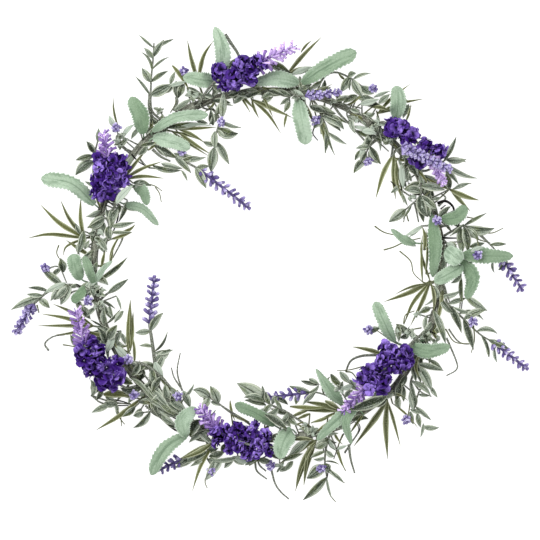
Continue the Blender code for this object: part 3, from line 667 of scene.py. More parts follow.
def makeTip(number, start, end, look):
    # A thin stem with bells round it, each leaning forwards; at a share s of the stem they are
    # 1.25 - 0.65 s times as long, and darker the nearer they stand to the head
    middle = (start + end) / 2 + up * 2 * mm
    line = smoothPath([start, middle, end], 24)
    count = look["bells"]
    s = np.linspace(0.04, 0.90, count)
    seat = spread(line, s)
    axis = unit(np.broadcast_to(end - start, seat.shape))
    outward = roundAxis(axis, np.arange(count) * goldenTurn + 0.4)
    lengths = look["bell"] * look["tipSpread"] * (1.25 - 0.65 * s) * chance.uniform(0.8, 1.15, count) * mm
    directions = outward + axis * chance.uniform(0.25, 1.1, (count, 1))
    bells = turned(seat, directions, lengths, (1.75 - 0.5 * s) * mm, bellProfile, 8)
    thin = np.linspace(1.0, 0.45, 24)[None] * mm
    thread = shells(line[None], thin, thin, 6)
    tones = chance.uniform(-0.5, 1.1, count) + look["tipTone"] + 0.9 * (s - 0.55)
    parts = [(bells, marksOf(bells, tones)), (thread, marksOf(thread, -0.2, 0.5))]
    addPiece(f"lilac_tip_{number}", parts, lilac)


for number, head in heads.items():
    makeTape(number, head["foot"])
    makeHead(number, head)
print("flower heads made")


# Lamb's-ear leaves: foot, then the blade's base, middle and tip, its width, roll and tone
# (None for any), and how pointed it is


lambsEars = {
    1: ((146, 140, 50), (143, 133, 15), (140, 116, 22), (131, 97, 21), 21, 0.15, 0.12, 0.25),
    2: ((151, 134, 95), (153, 131, 18), (177, 118, 31), (208, 115, 25), 13, -0.2, 0.7),
    3: ((146, 140, 140), (153, 138, 12), (171, 141, 19), (190, 148, 16), 19, 0.1, 1.15, 0.3),
    4: ((103, 209, 20), (94, 204, 12), (72, 184, 25), (41, 178, 15), 18, 0.1, 0.72),
    5: ((226, 95, 25), (222, 77, 14), (223, 52, 22), (215, 27, 23), 18, -0.1, 1.25, 0.3),
    6: ((207, 101, 22), (214, 83, 13), (201, 80, 22), (183, 77, 20), 20, 0.1, 0.6, 0.45),
    7: ((299, 93, 70), (298, 83, 15), (278, 79, 22), (255, 83, 17), 20, 0.05, 0.85, 0.45),
    8: ((306, 94, 40), (303, 83, 16), (327, 67, 28), (356, 52, 26), 19, -0.1, 0.38),
    9: ((299, 93, 135), (298, 99, 12), (302, 121, 20), (306, 144, 12), 19, 0.1, 0.85),
    10: ((387, 137, 40), (396, 119, 13), (398, 102, 22), (396, 86, 23), 18, 0.1, 0.66),
    11: ((431, 200, 112), (432, 216, 18), (435, 246, 25), (433, 277, 17), 16, 0.1, 0.12, 0.3),
    12: ((443, 262, 40), (461, 261, 16), (473, 278, 20), (467, 299, 13), 17, 0.2, 0.18, 0.3),
    13: ((443, 256, 30), (463, 255, 20), (487, 256, 26), (513, 256, 20), 20, 0.0, 0.2, 0.45),
    14: ((420, 351, 140), (395, 341, 14), (383, 320, 24), (375, 302, 18), 15, 0.1, 0.6),
    15: ((427, 337, 50), (411, 345, 18), (430, 351, 25), (450, 346, 20), 18, 0.2, 0.3, 0.3),
    16: ((291, 439, 150), (274, 425, 21), (257, 413, 34), (235, 404, 26), 14, -0.3, 0.1),
    17: ((297, 438, 155), (291, 430, 20), (283, 442, 33), (280, 458, 36), 23, 0.0, 0.6, 0.35),
    18: ((190, 422, 50), (188, 433, 15), (166, 448, 24), (151, 475, 17), 16, 0.2, 0.5),
    19: ((184, 419, 90), (187, 435, 26), (183, 421, 32), (196, 407, 27), 19, 0.0, 0.75, 0.4),
    20: ((372, 406, 50), (363, 402, 20), (339, 418, 28), (317, 440, 22), 17, 0.1, 0.5, 0.45),
}
smallEars = {  # further leaves of the same cloth, which share a foot with a larger one
    "a": ((117, 177, 150), (134, 186, 13), (143, 191, 18), (147, 205, 16), 15, 0.3, 0.25, 0.4),
    "b": ((107, 196, 160), (124, 204, 12), (143, 209, 20), (158, 225, 14), 12, 0.4, 0.7, 0.3),
    "c": ((438, 220, 40), (442, 219, 16), (457, 217, 22), (466, 206, 20), 17, 0.1, 0.1, 0.2),
    "d": ((441, 243, 160), (415, 243, 13), (403, 239, 18), (391, 229, 16), 12, 0.5, 0.4, 0.5),
    "e": ((442, 252, 70), (446, 250, 22), (453, 256, 30), (460, 263, 28), 20, 0.0, 1.1),
    "f": ((443, 262, 60), (460, 266, 22), (448, 274, 27), (434, 282, 25), 18, 0.0, 0.6, 0.3),
    "g": ((350, 420, 165), (342, 404, 12), (329, 389, 18), (316, 369, 14), 15, 0.3, 0.45, 0.6),
    "i": ((93, 283, 40), (81, 279, 16), (76, 268, 22), (73, 254, 20), 17, 0.2, 0.4),
    "j": ((94, 286, 70), (94, 284, 14), (89, 270, 24), (84, 256, 20), 11, 0.5, 0.2),
    "k": ((95, 288, 110), (96, 282, 14), (102, 270, 20), (112, 261, 16), 8, 0.4, 1.05, 0.4),
    "l": ((94, 286, 30), (85, 287, 14), (80, 294, 17), (72, 302, 14), 12, 0.2, -0.1),
    "m": ((362, 412, 60), (356, 408, 25), (346, 421, 33), (351, 444, 24), 13, 0.5, 0.3, 0.5),
}
earLook = {"teeth": 14, "bite": 0.22, "sway": 0.07, "least": 0.4, "depth": 0.7, "fold": 0.13,
           "ruffle": 0.09, "waves": 2.6, "steps": 160, "rows": 76, "sides": 18, "stalk": 0.8,
           "stalkRows": 10}
outlines = {  # half widths along a blade, as shares of its fullest
    "ear": ([0, 0.10, 0.25, 0.45, 0.70, 0.85, 0.94, 1], [0.30, 0.60, 0.86, 1.0, 0.98, 0.86, 0.62, 0.16]),
    "leaf": ([0, 0.12, 0.35, 0.60, 0.85, 1], [0.15, 0.60, 1.0, 0.90, 0.42, 0.04]),
    "blade": ([0, 0.15, 0.38, 0.65, 1], [0.28, 0.68, 1.0, 0.72, 0.05])}


def makeEar(name, row, replaces=()):
    # Half width w(t): the ear's outline, narrowed towards a pointed tip, notched by a sawtooth
    # on either side; creased along the midrib, its edges rippling gently
    foot, base, middle, tip, width, roll, tone, *point = row
    rows, sides, stalkRows = earLook["rows"], earLook["sides"], earLook["stalkRows"]
    first = metres([base])[0]
    foot = ringPoint(*foot, ring["gap"] + earLook["stalk"] / 2)
    blade = smoothPath([foot, first, *metres([middle, tip])], earLook["steps"])
    share = np.argmin(np.linalg.norm(blade - first, axis=1)) / (earLook["steps"] - 1)
    t = np.linspace(0, 1, rows)
    path = np.vstack([spread(blade, np.linspace(0, share * 0.95, stalkRows)),
                      spread(blade, share + (1 - share) * t)])
    outline = np.interp(t, *outlines["ear"])
    outline = outline * (1 - (point[0] if point else 0) * np.maximum(t - 0.35, 0) / 0.65)
    t = t[:, None]
    saw = (t * earLook["teeth"] + chance.uniform(0, 1, 2)) % 1
    sway = 1 + earLook["sway"] * np.sin(chance.uniform(5, 9, 2) * t + chance.uniform(0, anyTurn, 2))
    edges = outline[:, None] * sway * (1 - earLook["bite"] * saw * np.sin(math.pi * t) ** 0.3)
    widths = np.where(np.cos(evenTurns(sides)) >= 0, edges[:, :1], edges[:, 1:]) * width / 2
    widths = np.vstack([np.full((stalkRows, sides), earLook["stalk"]),
                        np.maximum(widths, earLook["least"])])
    depths = np.repeat([earLook["stalk"], earLook["depth"]], [stalkRows, rows])
    depths[-2:] *= 0.5
    rolls = roll * np.concatenate([np.zeros(stalkRows), np.sin(t[:, 0] * 2.4)])
    rings = shells(path[None], widths[None] * mm, depths[None] * mm, sides, rolls=rolls[None],
                   folds=earLook["fold"], ruffle=earLook["ruffle"], waves=earLook["waves"])
    anyTone = chance.uniform(0.2, 0.7)
    marks = marksOf(rings, anyTone if tone is None else tone)
    marks[:, :stalkRows, :, 1] *= 0.3  # keeps the frayed rim off the stalk
    addPiece(name, [(rings, marks)], sage, replaces)


for number, row in lambsEars.items():
    makeEar(f"lambs_ear_cloth_{number:02d}", row, [f"lambs_ear_leaf_{number:02d}"])
for letter, row in smallEars.items():
    makeEar(f"lambs_ear_{letter}", row)
print("lamb's ears made")


# Stems with small leaves: foot, places along the stem, leaves as (u, v) on the stem, (u, v) of
# the tip and width, and the thickness of a stout stem


leafLook = {"stem": 1.35, "lift": 2.6, "depth": 0.45, "swell": 1.12}


def flatMetres(places):  # board places (u, v) at height 0
    return metres(np.column_stack([places, np.zeros(len(places))]))


def nearestOn(path, places):  # the point of the path nearest to each place, from straight above
    dense = spread(path, np.linspace(0, 1, 240))
    gaps = np.linalg.norm(dense[None, :, :2] - flatMetres(places)[:, None, :2], axis=2)
    return dense[np.argmin(gaps, axis=1)]


def smallLeaves(path, plan):
    # Lance-shaped leaves: half width sin(pi t^0.85)^0.9, creased, each arched and rolled a little
    leaves = np.array(plan, float)
    starts = nearestOn(path, leaves[:, :2])
    rise = np.where(np.arange(len(leaves)) % 2, leafLook["lift"], leafLook["lift"] / 3)
    tips = flatMetres(leaves[:, 2:4])
    tips[:, 2] = starts[:, 2] + rise * mm
    bends = chance.normal(0, 0.07, len(leaves)) * np.linalg.norm(tips - starts, axis=1)
    paths = arcs(starts, tips, np.full(len(leaves), leafLook["lift"] * mm), bends, 11)
    t = np.linspace(0, 1, 11)
    outline = np.maximum(np.sin(math.pi * t**0.85) ** 0.9, [0.12, *[0.05] * 10])
    widths = outline[None] * leaves[:, 4:5] / 2 * leafLook["swell"] * mm
    rings = shells(paths, widths, leafLook["depth"] * mm, 8, rolls=chance.normal(0, 0.35, len(leaves)),
                   folds=chance.uniform(0.05, 0.4, len(leaves)))
    return rings, marksOf(rings, chance.uniform(0.15, 1.0, len(leaves)))


def stemTube(path, radius, rows=26, tone=-1.0):
    # A round tube that thins towards its end, to 0.6 of its radius
    line = spread(path, np.linspace(0, 1, rows))[None]
    thick = np.linspace(1.0, 0.6, rows)[None] * radius * mm
    rings = shells(line, thick, thick, 7)
    return rings, marksOf(rings, tone)


sprigs = {
    1: dict(foot=(165, 122, 55), stem=[(158, 117, 12), (151, 108, 15), (151, 82, 18), (153, 60, 19),
            (154, 43, 20)],
        leaves=[(153, 59, 144, 48, 6), (154, 57, 164, 40, 7), (152, 82, 142, 68, 7), (152, 82, 168, 71, 6),
            (152, 95, 172, 84, 10), (153, 48, 139, 35, 3), (154, 48, 174, 39, 4), (152, 72, 141, 52, 3),
            (154, 70, 169, 57, 3), (151, 96, 135, 76, 3)]),
    2: dict(foot=(107, 196, 15), stem=[(99, 190, 8), (93, 174, 9), (94, 154, 10), (97, 141, 10),
            (98, 130, 10)],
        leaves=[(94, 153, 86, 141, 6), (94, 156, 75, 160, 6), (92, 161, 75, 175, 9),
            (98, 142, 98, 128, 6)]),
    3: dict(foot=(206, 102, 160), stem=[(213, 109, 8), (219, 119, 9), (216, 134, 9), (214, 148, 8)],
        leaves=[(219, 120, 241, 127, 7), (217, 127, 238, 133, 10), (214, 147, 211, 172, 10),
            (217, 141, 229, 164, 8), (215, 144, 203, 141, 5), (216, 114, 223, 101, 7),
            (217, 130, 225, 138, 6), (214, 114, 209, 124, 6)]),
    4: dict(foot=(314, 96, 150), stem=[(317, 105, 8), (322, 116, 10), (327, 128, 10), (329, 136, 10)],
        leaves=[(317, 105, 336, 113, 9), (322, 116, 344, 129, 9), (321, 115, 314, 128, 9),
            (330, 131, 347, 144, 6), (326, 127, 325, 153, 5), (324, 122, 335, 155, 4)]),
    5: dict(foot=(325, 99, 30), stem=[(319, 87, 9), (326, 75, 12), (337, 72, 13), (351, 78, 14),
            (362, 86, 14), (373, 93, 14)],
        leaves=[(349, 78, 341, 92, 8), (352, 80, 363, 97, 8), (353, 79, 371, 73, 4), (347, 79, 356, 73, 6),
            (351, 79, 350, 90, 4), (361, 85, 374, 93, 9)]),
    6: dict(foot=(417, 172, 20), stem=[(428, 170, 8), (440, 163, 9), (449, 158, 9)],
        leaves=[(442, 156, 457, 136, 5), (447, 160, 467, 159, 6), (446, 167, 478, 178, 6),
            (440, 163, 459, 184, 6), (446, 160, 467, 162, 4)]),
    7: dict(foot=(421, 179, 100), stem=[(421, 186, 16), (420, 196, 17), (411, 205, 14), (405, 210, 12)],
        leaves=[(421, 186, 445, 190, 9), (420, 195, 428, 217, 9), (408, 211, 389, 222, 9),
            (420, 192, 405, 190, 8), (420, 180, 427, 195, 7), (421, 196, 437, 209, 8),
            (412, 204, 403, 219, 3), (421, 182, 404, 189, 8)]),
    8: dict(foot=(417, 358, 55), stem=[(417, 366, 12), (413, 376, 12), (411, 386, 11), (411, 396, 10)],
        leaves=[(418, 366, 432, 391, 9), (417, 364, 444, 371, 6), (412, 382, 431, 396, 6),
            (411, 392, 414, 410, 7), (413, 382, 417, 400, 4)]),
    9: dict(foot=(330, 430, 35), stem=[(329, 438, 8), (326, 450, 9), (325, 463, 9), (327, 478, 8)],
        leaves=[(328, 441, 316, 449, 7), (328, 441, 336, 451, 5), (327, 465, 307, 479, 12),
            (326, 464, 344, 483, 3), (330, 482, 303, 501, 8), (325, 452, 310, 459, 4),
            (325, 458, 314, 460, 4), (326, 464, 329, 473, 8), (326, 462, 339, 465, 4),
            (327, 470, 344, 483, 4), (327, 478, 332, 499, 3)]),
    10: dict(foot=(125, 367, 165), stem=[(135, 363, 14), (147, 366, 17), (160, 376, 18), (172, 389, 17)],
        stout=1.9,
        leaves=[(140, 361, 131, 376, 7), (152, 369, 155, 385, 7), (162, 377, 152, 392, 7),
            (171, 387, 182, 402, 8)]),
}
moreSprigs = {  # shorter sprigs between the larger ones
    "bottom_inner": dict(foot=(262, 441, 150), stem=[(249, 424, 11), (231, 413, 15), (219, 404, 16),
            (208, 397, 15)],
        leaves=[(209, 399, 193, 390, 9), (218, 404, 210, 386, 9), (209, 398, 202, 409, 7)]),
    "under_lavender": dict(foot=(315, 435, 150), stem=[(300, 421, 13), (285, 411, 18), (272, 405, 23),
            (261, 399, 25)],
        leaves=[(264, 405, 237, 383, 14), (264, 400, 244, 397, 7), (262, 398, 262, 385, 4),
            (270, 404, 266, 391, 5), (272, 405, 264, 414, 5), (282, 410, 274, 397, 4),
            (288, 413, 281, 424, 5), (278, 408, 268, 416, 6)]),
    "right_inner": dict(foot=(385, 138, 150), stem=[(377, 140, 10), (370, 146, 12), (366, 153, 12)],
        leaves=[(370, 146, 356, 148, 5), (367, 152, 360, 163, 5), (372, 144, 366, 134, 5)]),
    "left_corner": dict(foot=(182, 417, 150), stem=[(172, 405, 14), (160, 392, 15), (148, 380, 14),
            (139, 368, 12)],
        leaves=[(168, 400, 165, 384, 7), (172, 405, 178, 390, 7), (162, 394, 150, 402, 8),
            (152, 384, 140, 388, 8), (154, 386, 158, 374, 7), (142, 372, 133, 375, 7),
            (139, 368, 128, 362, 7)]),
    "left_outer": dict(foot=(134, 377, 20), stem=[(124, 392, 8), (112, 404, 9), (100, 403, 9),
            (91, 396, 9)],
        leaves=[(104, 401, 117, 405, 7), (110, 409, 91, 413, 6), (116, 404, 117, 415, 4),
            (91, 396, 90, 380, 8), (96, 400, 101, 385, 7)]),
    "left_low": dict(foot=(170, 411, 60), stem=[(160, 412, 12), (150, 412, 12), (143, 413, 11)],
        leaves=[(150, 414, 133, 428, 6), (143, 411, 133, 416, 6), (155, 412, 150, 400, 6)]),
    "left_inner": dict(foot=(98, 300, 160), stem=[(104, 296, 9), (112, 290, 11), (118, 286, 11)],
        leaves=[(107, 294, 128, 279, 6)]),
    "left_top": dict(foot=(98, 221, 60), stem=[(105, 218, 14), (109, 226, 14), (110, 240, 12)],
        leaves=[(104, 218, 87, 227, 7), (109, 222, 118, 208, 8), (109, 226, 111, 240, 8),
            (109, 226, 135, 222, 5), (110, 232, 131, 232, 4)]),
    "low_left": dict(foot=(214, 435, 30), stem=[(210, 446, 8), (206, 456, 8), (211, 466, 8)],
        leaves=[(210, 446, 197, 449, 8), (206, 455, 192, 462, 8), (208, 460, 221, 463, 6),
            (207, 452, 218, 449, 6)]),
    "low_mid": dict(foot=(262, 441, 30), stem=[(258, 455, 9), (259, 465, 9), (266, 472, 8)],
        leaves=[(258, 458, 245, 466, 6), (259, 460, 272, 462, 6)]),
}


def makeSprig(name, plan, replaces=()):  # the stem, its leaves, and the stem's path
    foot = ringPoint(*plan["foot"], ring["gap"])
    path = smoothPath([foot, *metres(plan["stem"])], 60)
    parts = [stemTube(path, plan.get("stout", leafLook["stem"]))]
    if plan["leaves"]:
        parts.append(smallLeaves(path, plan["leaves"]))
    addPiece(name, parts, greens, replaces)
    return path


for number, plan in sprigs.items():
    makeSprig(f"dusty_sprig_{number:02d}", plan, [f"leafy_sprig_{number:02d}"])
for place, plan in moreSprigs.items():
    makeSprig(f"sprig_{place}", plan)
print("sprigs made")


# Lavender: a leafy stem as above that ends in a spike of whorled buds: its end, girth, tone, kind


lavenders = {
    1: dict(foot=(140, 147, 150), stem=[(150, 144, 9), (166, 152, 12), (184, 161, 13), (199, 169, 13)],
        spike=(249, 208, 12), girth=8.0, tone=0.28, stout=1.8,
        leaves=[(155, 147, 166, 157, 5), (174, 156, 191, 173, 6), (182, 160, 200, 157, 5),
            (196, 168, 209, 166, 5), (195, 168, 206, 188, 8), (184, 161, 206, 157, 4)]),
    2: dict(foot=(166, 408, 140), stem=[(158, 388, 9), (155, 366, 9), (152, 344, 9), (149, 324, 9)],
        spike=(154, 277, 10), girth=9.3, tone=0.25, stout=2.6,
        leaves=[(156, 352, 167, 332, 8), (152, 331, 135, 333, 6), (154, 347, 139, 346, 4),
            (163, 352, 173, 350, 5), (157, 360, 170, 349, 8), (156, 366, 134, 367, 8),
            (157, 374, 167, 352, 6), (153, 331, 163, 313, 7)]),
    3: dict(foot=(95, 292, 15), stem=[(84, 288, 8), (66, 285, 9), (47, 292, 9), (33, 304, 8)],
        spike=(15, 333, 8), girth=8.2, tone=0.42, kind="fine", stout=1.8,
        leaves=[(42, 299, 10, 310, 7), (47, 290, 27, 288, 4), (70, 284, 60, 305, 7), (58, 286, 50, 301, 6),
            (62, 285, 40, 268, 7), (38, 299, 49, 308, 7), (68, 285, 53, 300, 7), (42, 295, 26, 294, 5)]),
    4: dict(foot=(443, 236, 30), stem=[(453, 231, 10), (466, 226, 12), (487, 241, 13), (502, 257, 11)],
        spike=(523, 290, 9), girth=8.2, tone=0.2,
        leaves=[(466, 226, 495, 228, 9), (469, 227, 479, 239, 6), (460, 228, 450, 217, 7),
            (492, 243, 507, 244, 4), (461, 228, 461, 252, 8), (464, 226, 487, 213, 4)]),
    5: dict(foot=(441, 290, 25), stem=[(448, 303, 8), (462, 317, 10), (480, 334, 10), (493, 342, 9)],
        spike=(528, 369, 8), girth=7.8, tone=0.4,
        leaves=[(449, 304, 467, 298, 6), (449, 304, 462, 333, 8), (459, 314, 484, 320, 5),
            (464, 319, 474, 350, 7), (477, 332, 498, 334, 5), (488, 341, 510, 349, 6),
            (481, 336, 489, 357, 4), (465, 319, 487, 310, 7)]),
    6: dict(foot=(353, 419, 140), stem=[(342, 406, 10), (329, 397, 11), (318, 393, 12), (309, 393, 12)],
        spike=(266, 398, 12), girth=7.8, tone=0.2,
        leaves=[(311, 391, 289, 386, 6), (324, 394, 330, 377, 5), (316, 392, 303, 405, 6),
            (306, 391, 319, 385, 4)]),
    7: dict(foot=(284, 91, 95), stem=[(290, 92, 14), (296, 96, 26), (301, 97, 33), (305, 97, 34)],
        spike=(340, 93, 32), girth=7.0, tone=0.68, kind="fine", leaves=[]),
    8: dict(foot=(223, 434, 20), stem=[(211, 445, 7), (200, 453, 8), (190, 458, 8), (182, 460, 8)],
        spike=(158, 471, 8), girth=7.6, tone=0.0,
        leaves=[(192, 457, 176, 467, 6)]),
    9: dict(foot=(395, 143, 110), stem=[(392, 153, 20), (391, 157, 34), (395, 152, 45), (400, 148, 48)],
        spike=(449, 170, 43), girth=8.2, tone=1.0, kind="fine", leaves=[]),
}
budProfile = [(0.38, 0.0), (0.62, 0.22), (0.95, 0.55), (1.05, 0.75), (0.90, 0.92), (0.55, 1.0),
              (0.25, 0.92), (0.03, 0.88)]
spikeLook = {"plump": dict(pitch=6.7, buds=5, length=6.3, radius=1.18, lean=0.65, jitter=0.012,
                           profile=budProfile),
             "fine": dict(pitch=4.2, buds=6, length=5.0, radius=1.3, lean=0.7, jitter=0.03,
                          profile=bellProfile)}
spikeEnd = {"length": 5, "width": 1.9, "sunk": 3, "thread": 1.4, "lowest": 0.3}  # its last bud


def makeSpike(name, start, end, plan, replaces):
    # Whorls at even steps along the axis; the buds of one stand at even turns and lean forwards
    look = spikeLook[plan.get("kind", "plump")]
    each, girth = look["buds"], plan["girth"] / 6.0  # the buds' sizes are for a spike 6 mm thick
    length = np.linalg.norm(end - start)
    whorls = max(3, round(length / mm / look["pitch"]))
    line = smoothPath([start, (start + end) / 2 + up * mm, end], 20)
    share = np.repeat((np.arange(whorls) + 0.2) / whorls, each)
    share = np.clip(share + chance.normal(0, look["jitter"], len(share)), 0, 0.97)
    seat = spread(line, share)
    axis = unit(np.broadcast_to(end - start, seat.shape))
    turn = np.tile(evenTurns(each), whorls) + np.repeat(np.arange(whorls) * 0.6, each)
    outward = roundAxis(axis, turn + chance.normal(0, 0.15, len(turn)))
    taper = (1.1 - 0.35 * share) * girth * chance.uniform(0.85, 1.1, len(share))
    directions = outward + axis * look["lean"] * chance.uniform(0.7, 1.4, (len(share), 1))
    bells = turned(seat, directions, look["length"] * taper * mm, look["radius"] * taper * mm,
                   look["profile"], 8)
    bells[..., 2] = np.maximum(bells[..., 2], spikeEnd["lowest"] * mm)  # some lie on the table
    tones = np.clip(plan["tone"] + chance.normal(0, 0.30, len(share)), 0, 1)
    crown = turned(end[None] - axis[:1] * spikeEnd["sunk"] * mm, axis[:1], [spikeEnd["length"] * mm],
                   [spikeEnd["width"] * mm], budProfile, 8)
    thread = shells(line[None], spikeEnd["thread"] * mm, spikeEnd["thread"] * mm, 6)
    parts = [(bells, marksOf(bells, tones)), (crown, marksOf(crown, plan["tone"])),
             (thread, marksOf(thread, 0.1, 0.25))]
    addPiece(name, parts, buds, replaces)


for number, plan in lavenders.items():
    path = makeSprig(f"lavender_leaves_{number}", plan)
    makeSpike(f"lavender_spike_{number}", path[-1], metres([plan["spike"]])[0], plan,
              [f"lavender_stem_{number}"])
print("lavender made")


# Grass tufts: foot, hub, and each blade as (u, v, z) of its middle, of its tip, and its width


tufts = {
    1: dict(foot=(95, 238, 10), hub=(82, 238, 7), blades=[(59, 223, 10, 39, 204, 9, 7),
        (69, 219, 13, 60, 200, 13, 6), (80, 219, 9, 80, 197, 8, 6), (50, 234, 12, 26, 238, 4, 6),
        (66, 246, 10, 62, 256, 5, 4)]),
    2: dict(foot=(103, 326, 10), hub=(91, 326, 7), blades=[(70, 312, 9, 52, 304, 9, 6),
        (65, 318, 12, 41, 314, 11, 6), (61, 326, 7, 36, 326, 5, 5), (72, 333, 10, 55, 335, 9, 5)]),
    3: dict(foot=(250, 91, 160), hub=(252, 100, 8), blades=[(268, 114, 10, 281, 133, 9, 5),
        (276, 110, 11, 292, 117, 10, 7), (254, 108, 9, 259, 118, 9, 4)]),
    4: dict(foot=(378, 129, 20), hub=(377, 110, 8), blades=[(392, 98, 9, 411, 83, 8, 5),
        (400, 103, 8, 425, 98, 7, 5), (396, 108, 7, 414, 105, 6, 4)]),
    5: dict(foot=(442, 283, 165), hub=(429, 281, 8), blades=[(411, 292, 11, 384, 302, 10, 7),
        (413, 303, 9, 404, 326, 8, 6), (422, 303, 8, 411, 326, 7, 6), (422, 254, 9, 423, 235, 8, 4)]),
    6: dict(foot=(341, 426, 165), hub=(342, 409, 8), blades=[(322, 405, 9, 304, 402, 8, 8),
        (317, 408, 5, 290, 407, 5, 6), (318, 411, 7, 300, 411, 6, 6), (322, 420, 7, 311, 424, 6, 5)]),
    7: dict(foot=(319, 433, 40), hub=(316, 442, 9), blades=[(306, 460, 9, 295, 493, 7, 6),
        (304, 448, 11, 278, 466, 8, 9), (308, 467, 6, 304, 487, 5, 4)]),
    8: dict(foot=(384, 396, 40), hub=(388, 401, 10), blades=[(376, 418, 10, 354, 447, 8, 8),
        (386, 425, 9, 388, 460, 7, 8), (394, 420, 8, 401, 447, 7, 5)]),
}
moreTufts = {
    "over_leaf": dict(foot=(205, 101, 40), hub=(196, 76, 9), blades=[(191, 58, 10, 187, 39, 9, 6),
        (203, 56, 10, 213, 40, 9, 6), (183, 74, 9, 172, 65, 8, 4)]),
    "top": dict(foot=(283, 90, 30), hub=(287, 72, 12), blades=[(303, 55, 14, 322, 36, 12, 6),
        (299, 68, 13, 313, 67, 12, 4)]),
    "inner_left": dict(foot=(114, 180, 160), hub=(124, 178, 9), blades=[(135, 163, 12, 147, 148, 10, 5),
        (142, 168, 11, 162, 161, 9, 5), (143, 176, 9, 164, 178, 7, 5)]),
    "inner_top": dict(foot=(160, 126, 150), hub=(173, 131, 10), blades=[(190, 144, 12, 209, 156, 9, 4),
        (192, 136, 12, 205, 142, 10, 4)]),
    "right_shoulder": dict(foot=(399, 147, 150), hub=(394, 154, 11), blades=[(384, 173, 12, 376, 199, 8, 7),
        (394, 178, 11, 396, 199, 8, 7), (401, 182, 10, 404, 204, 8, 4)]),
    "right_low": dict(foot=(443, 290, 10), hub=(442, 297, 10), blades=[(439, 315, 12, 433, 337, 8, 5)]),
    "bottom_left": dict(foot=(216, 434, 40), hub=(214, 445, 10), blades=[(201, 466, 11, 192, 492, 7, 6),
        (197, 450, 12, 180, 459, 9, 6)]),
    "corner": dict(foot=(148, 394, 60), hub=(139, 400, 12), blades=[(119, 416, 13, 95, 431, 9, 7),
        (117, 394, 12, 104, 394, 10, 6)]),
    "left_up": dict(foot=(113, 350, 165), hub=(130, 354, 9), blades=[(130, 328, 11, 130, 300, 8, 5),
        (132, 332, 11, 133, 312, 8, 4), (127, 338, 11, 126, 322, 8, 4)]),
}
bladeLook = {"stem": 1.3, "depth": 0.45, "swell": 0.40}


def makeTuft(name, plan, replaces=()):
    # Blades: the blade's outline, broadest at two fifths of its length, creased along the middle
    hub = metres([plan["hub"]])[0]
    foot = ringPoint(*plan["foot"], ring["gap"])
    stem = stemTube(np.array([foot, (foot + hub) / 2, hub]), bladeLook["stem"], 8)
    root = hub + (foot - hub) * 0.2
    paths = np.array([smoothPath([root, *metres([row[:3], row[3:6]])], 14) for row in plan["blades"]])
    outline = np.interp(np.linspace(0, 1, 14), *outlines["blade"])
    widths = outline[None] * np.array([[row[6] * bladeLook["swell"]] for row in plan["blades"]]) * mm
    rings = shells(paths, widths, bladeLook["depth"] * mm, 8, rolls=chance.normal(0, 0.3, len(paths)),
                   folds=chance.uniform(0.2, 0.5, len(paths)))
    blades = (rings, marksOf(rings, chance.uniform(0.2, 1, len(paths))))
    addPiece(name, [stem, blades], grass, replaces)


for number, plan in tufts.items():
    makeTuft(f"olive_tuft_{number}", plan, [f"grass_tuft_{number}"])
for place, plan in moreTufts.items():
    makeTuft(f"tuft_{place}", plan)
print("grass made")


# Loose leaves and blades: (u, v) of the base, (u, v) of the tip, width and height; those that
# start near the ring stand on a short stalk


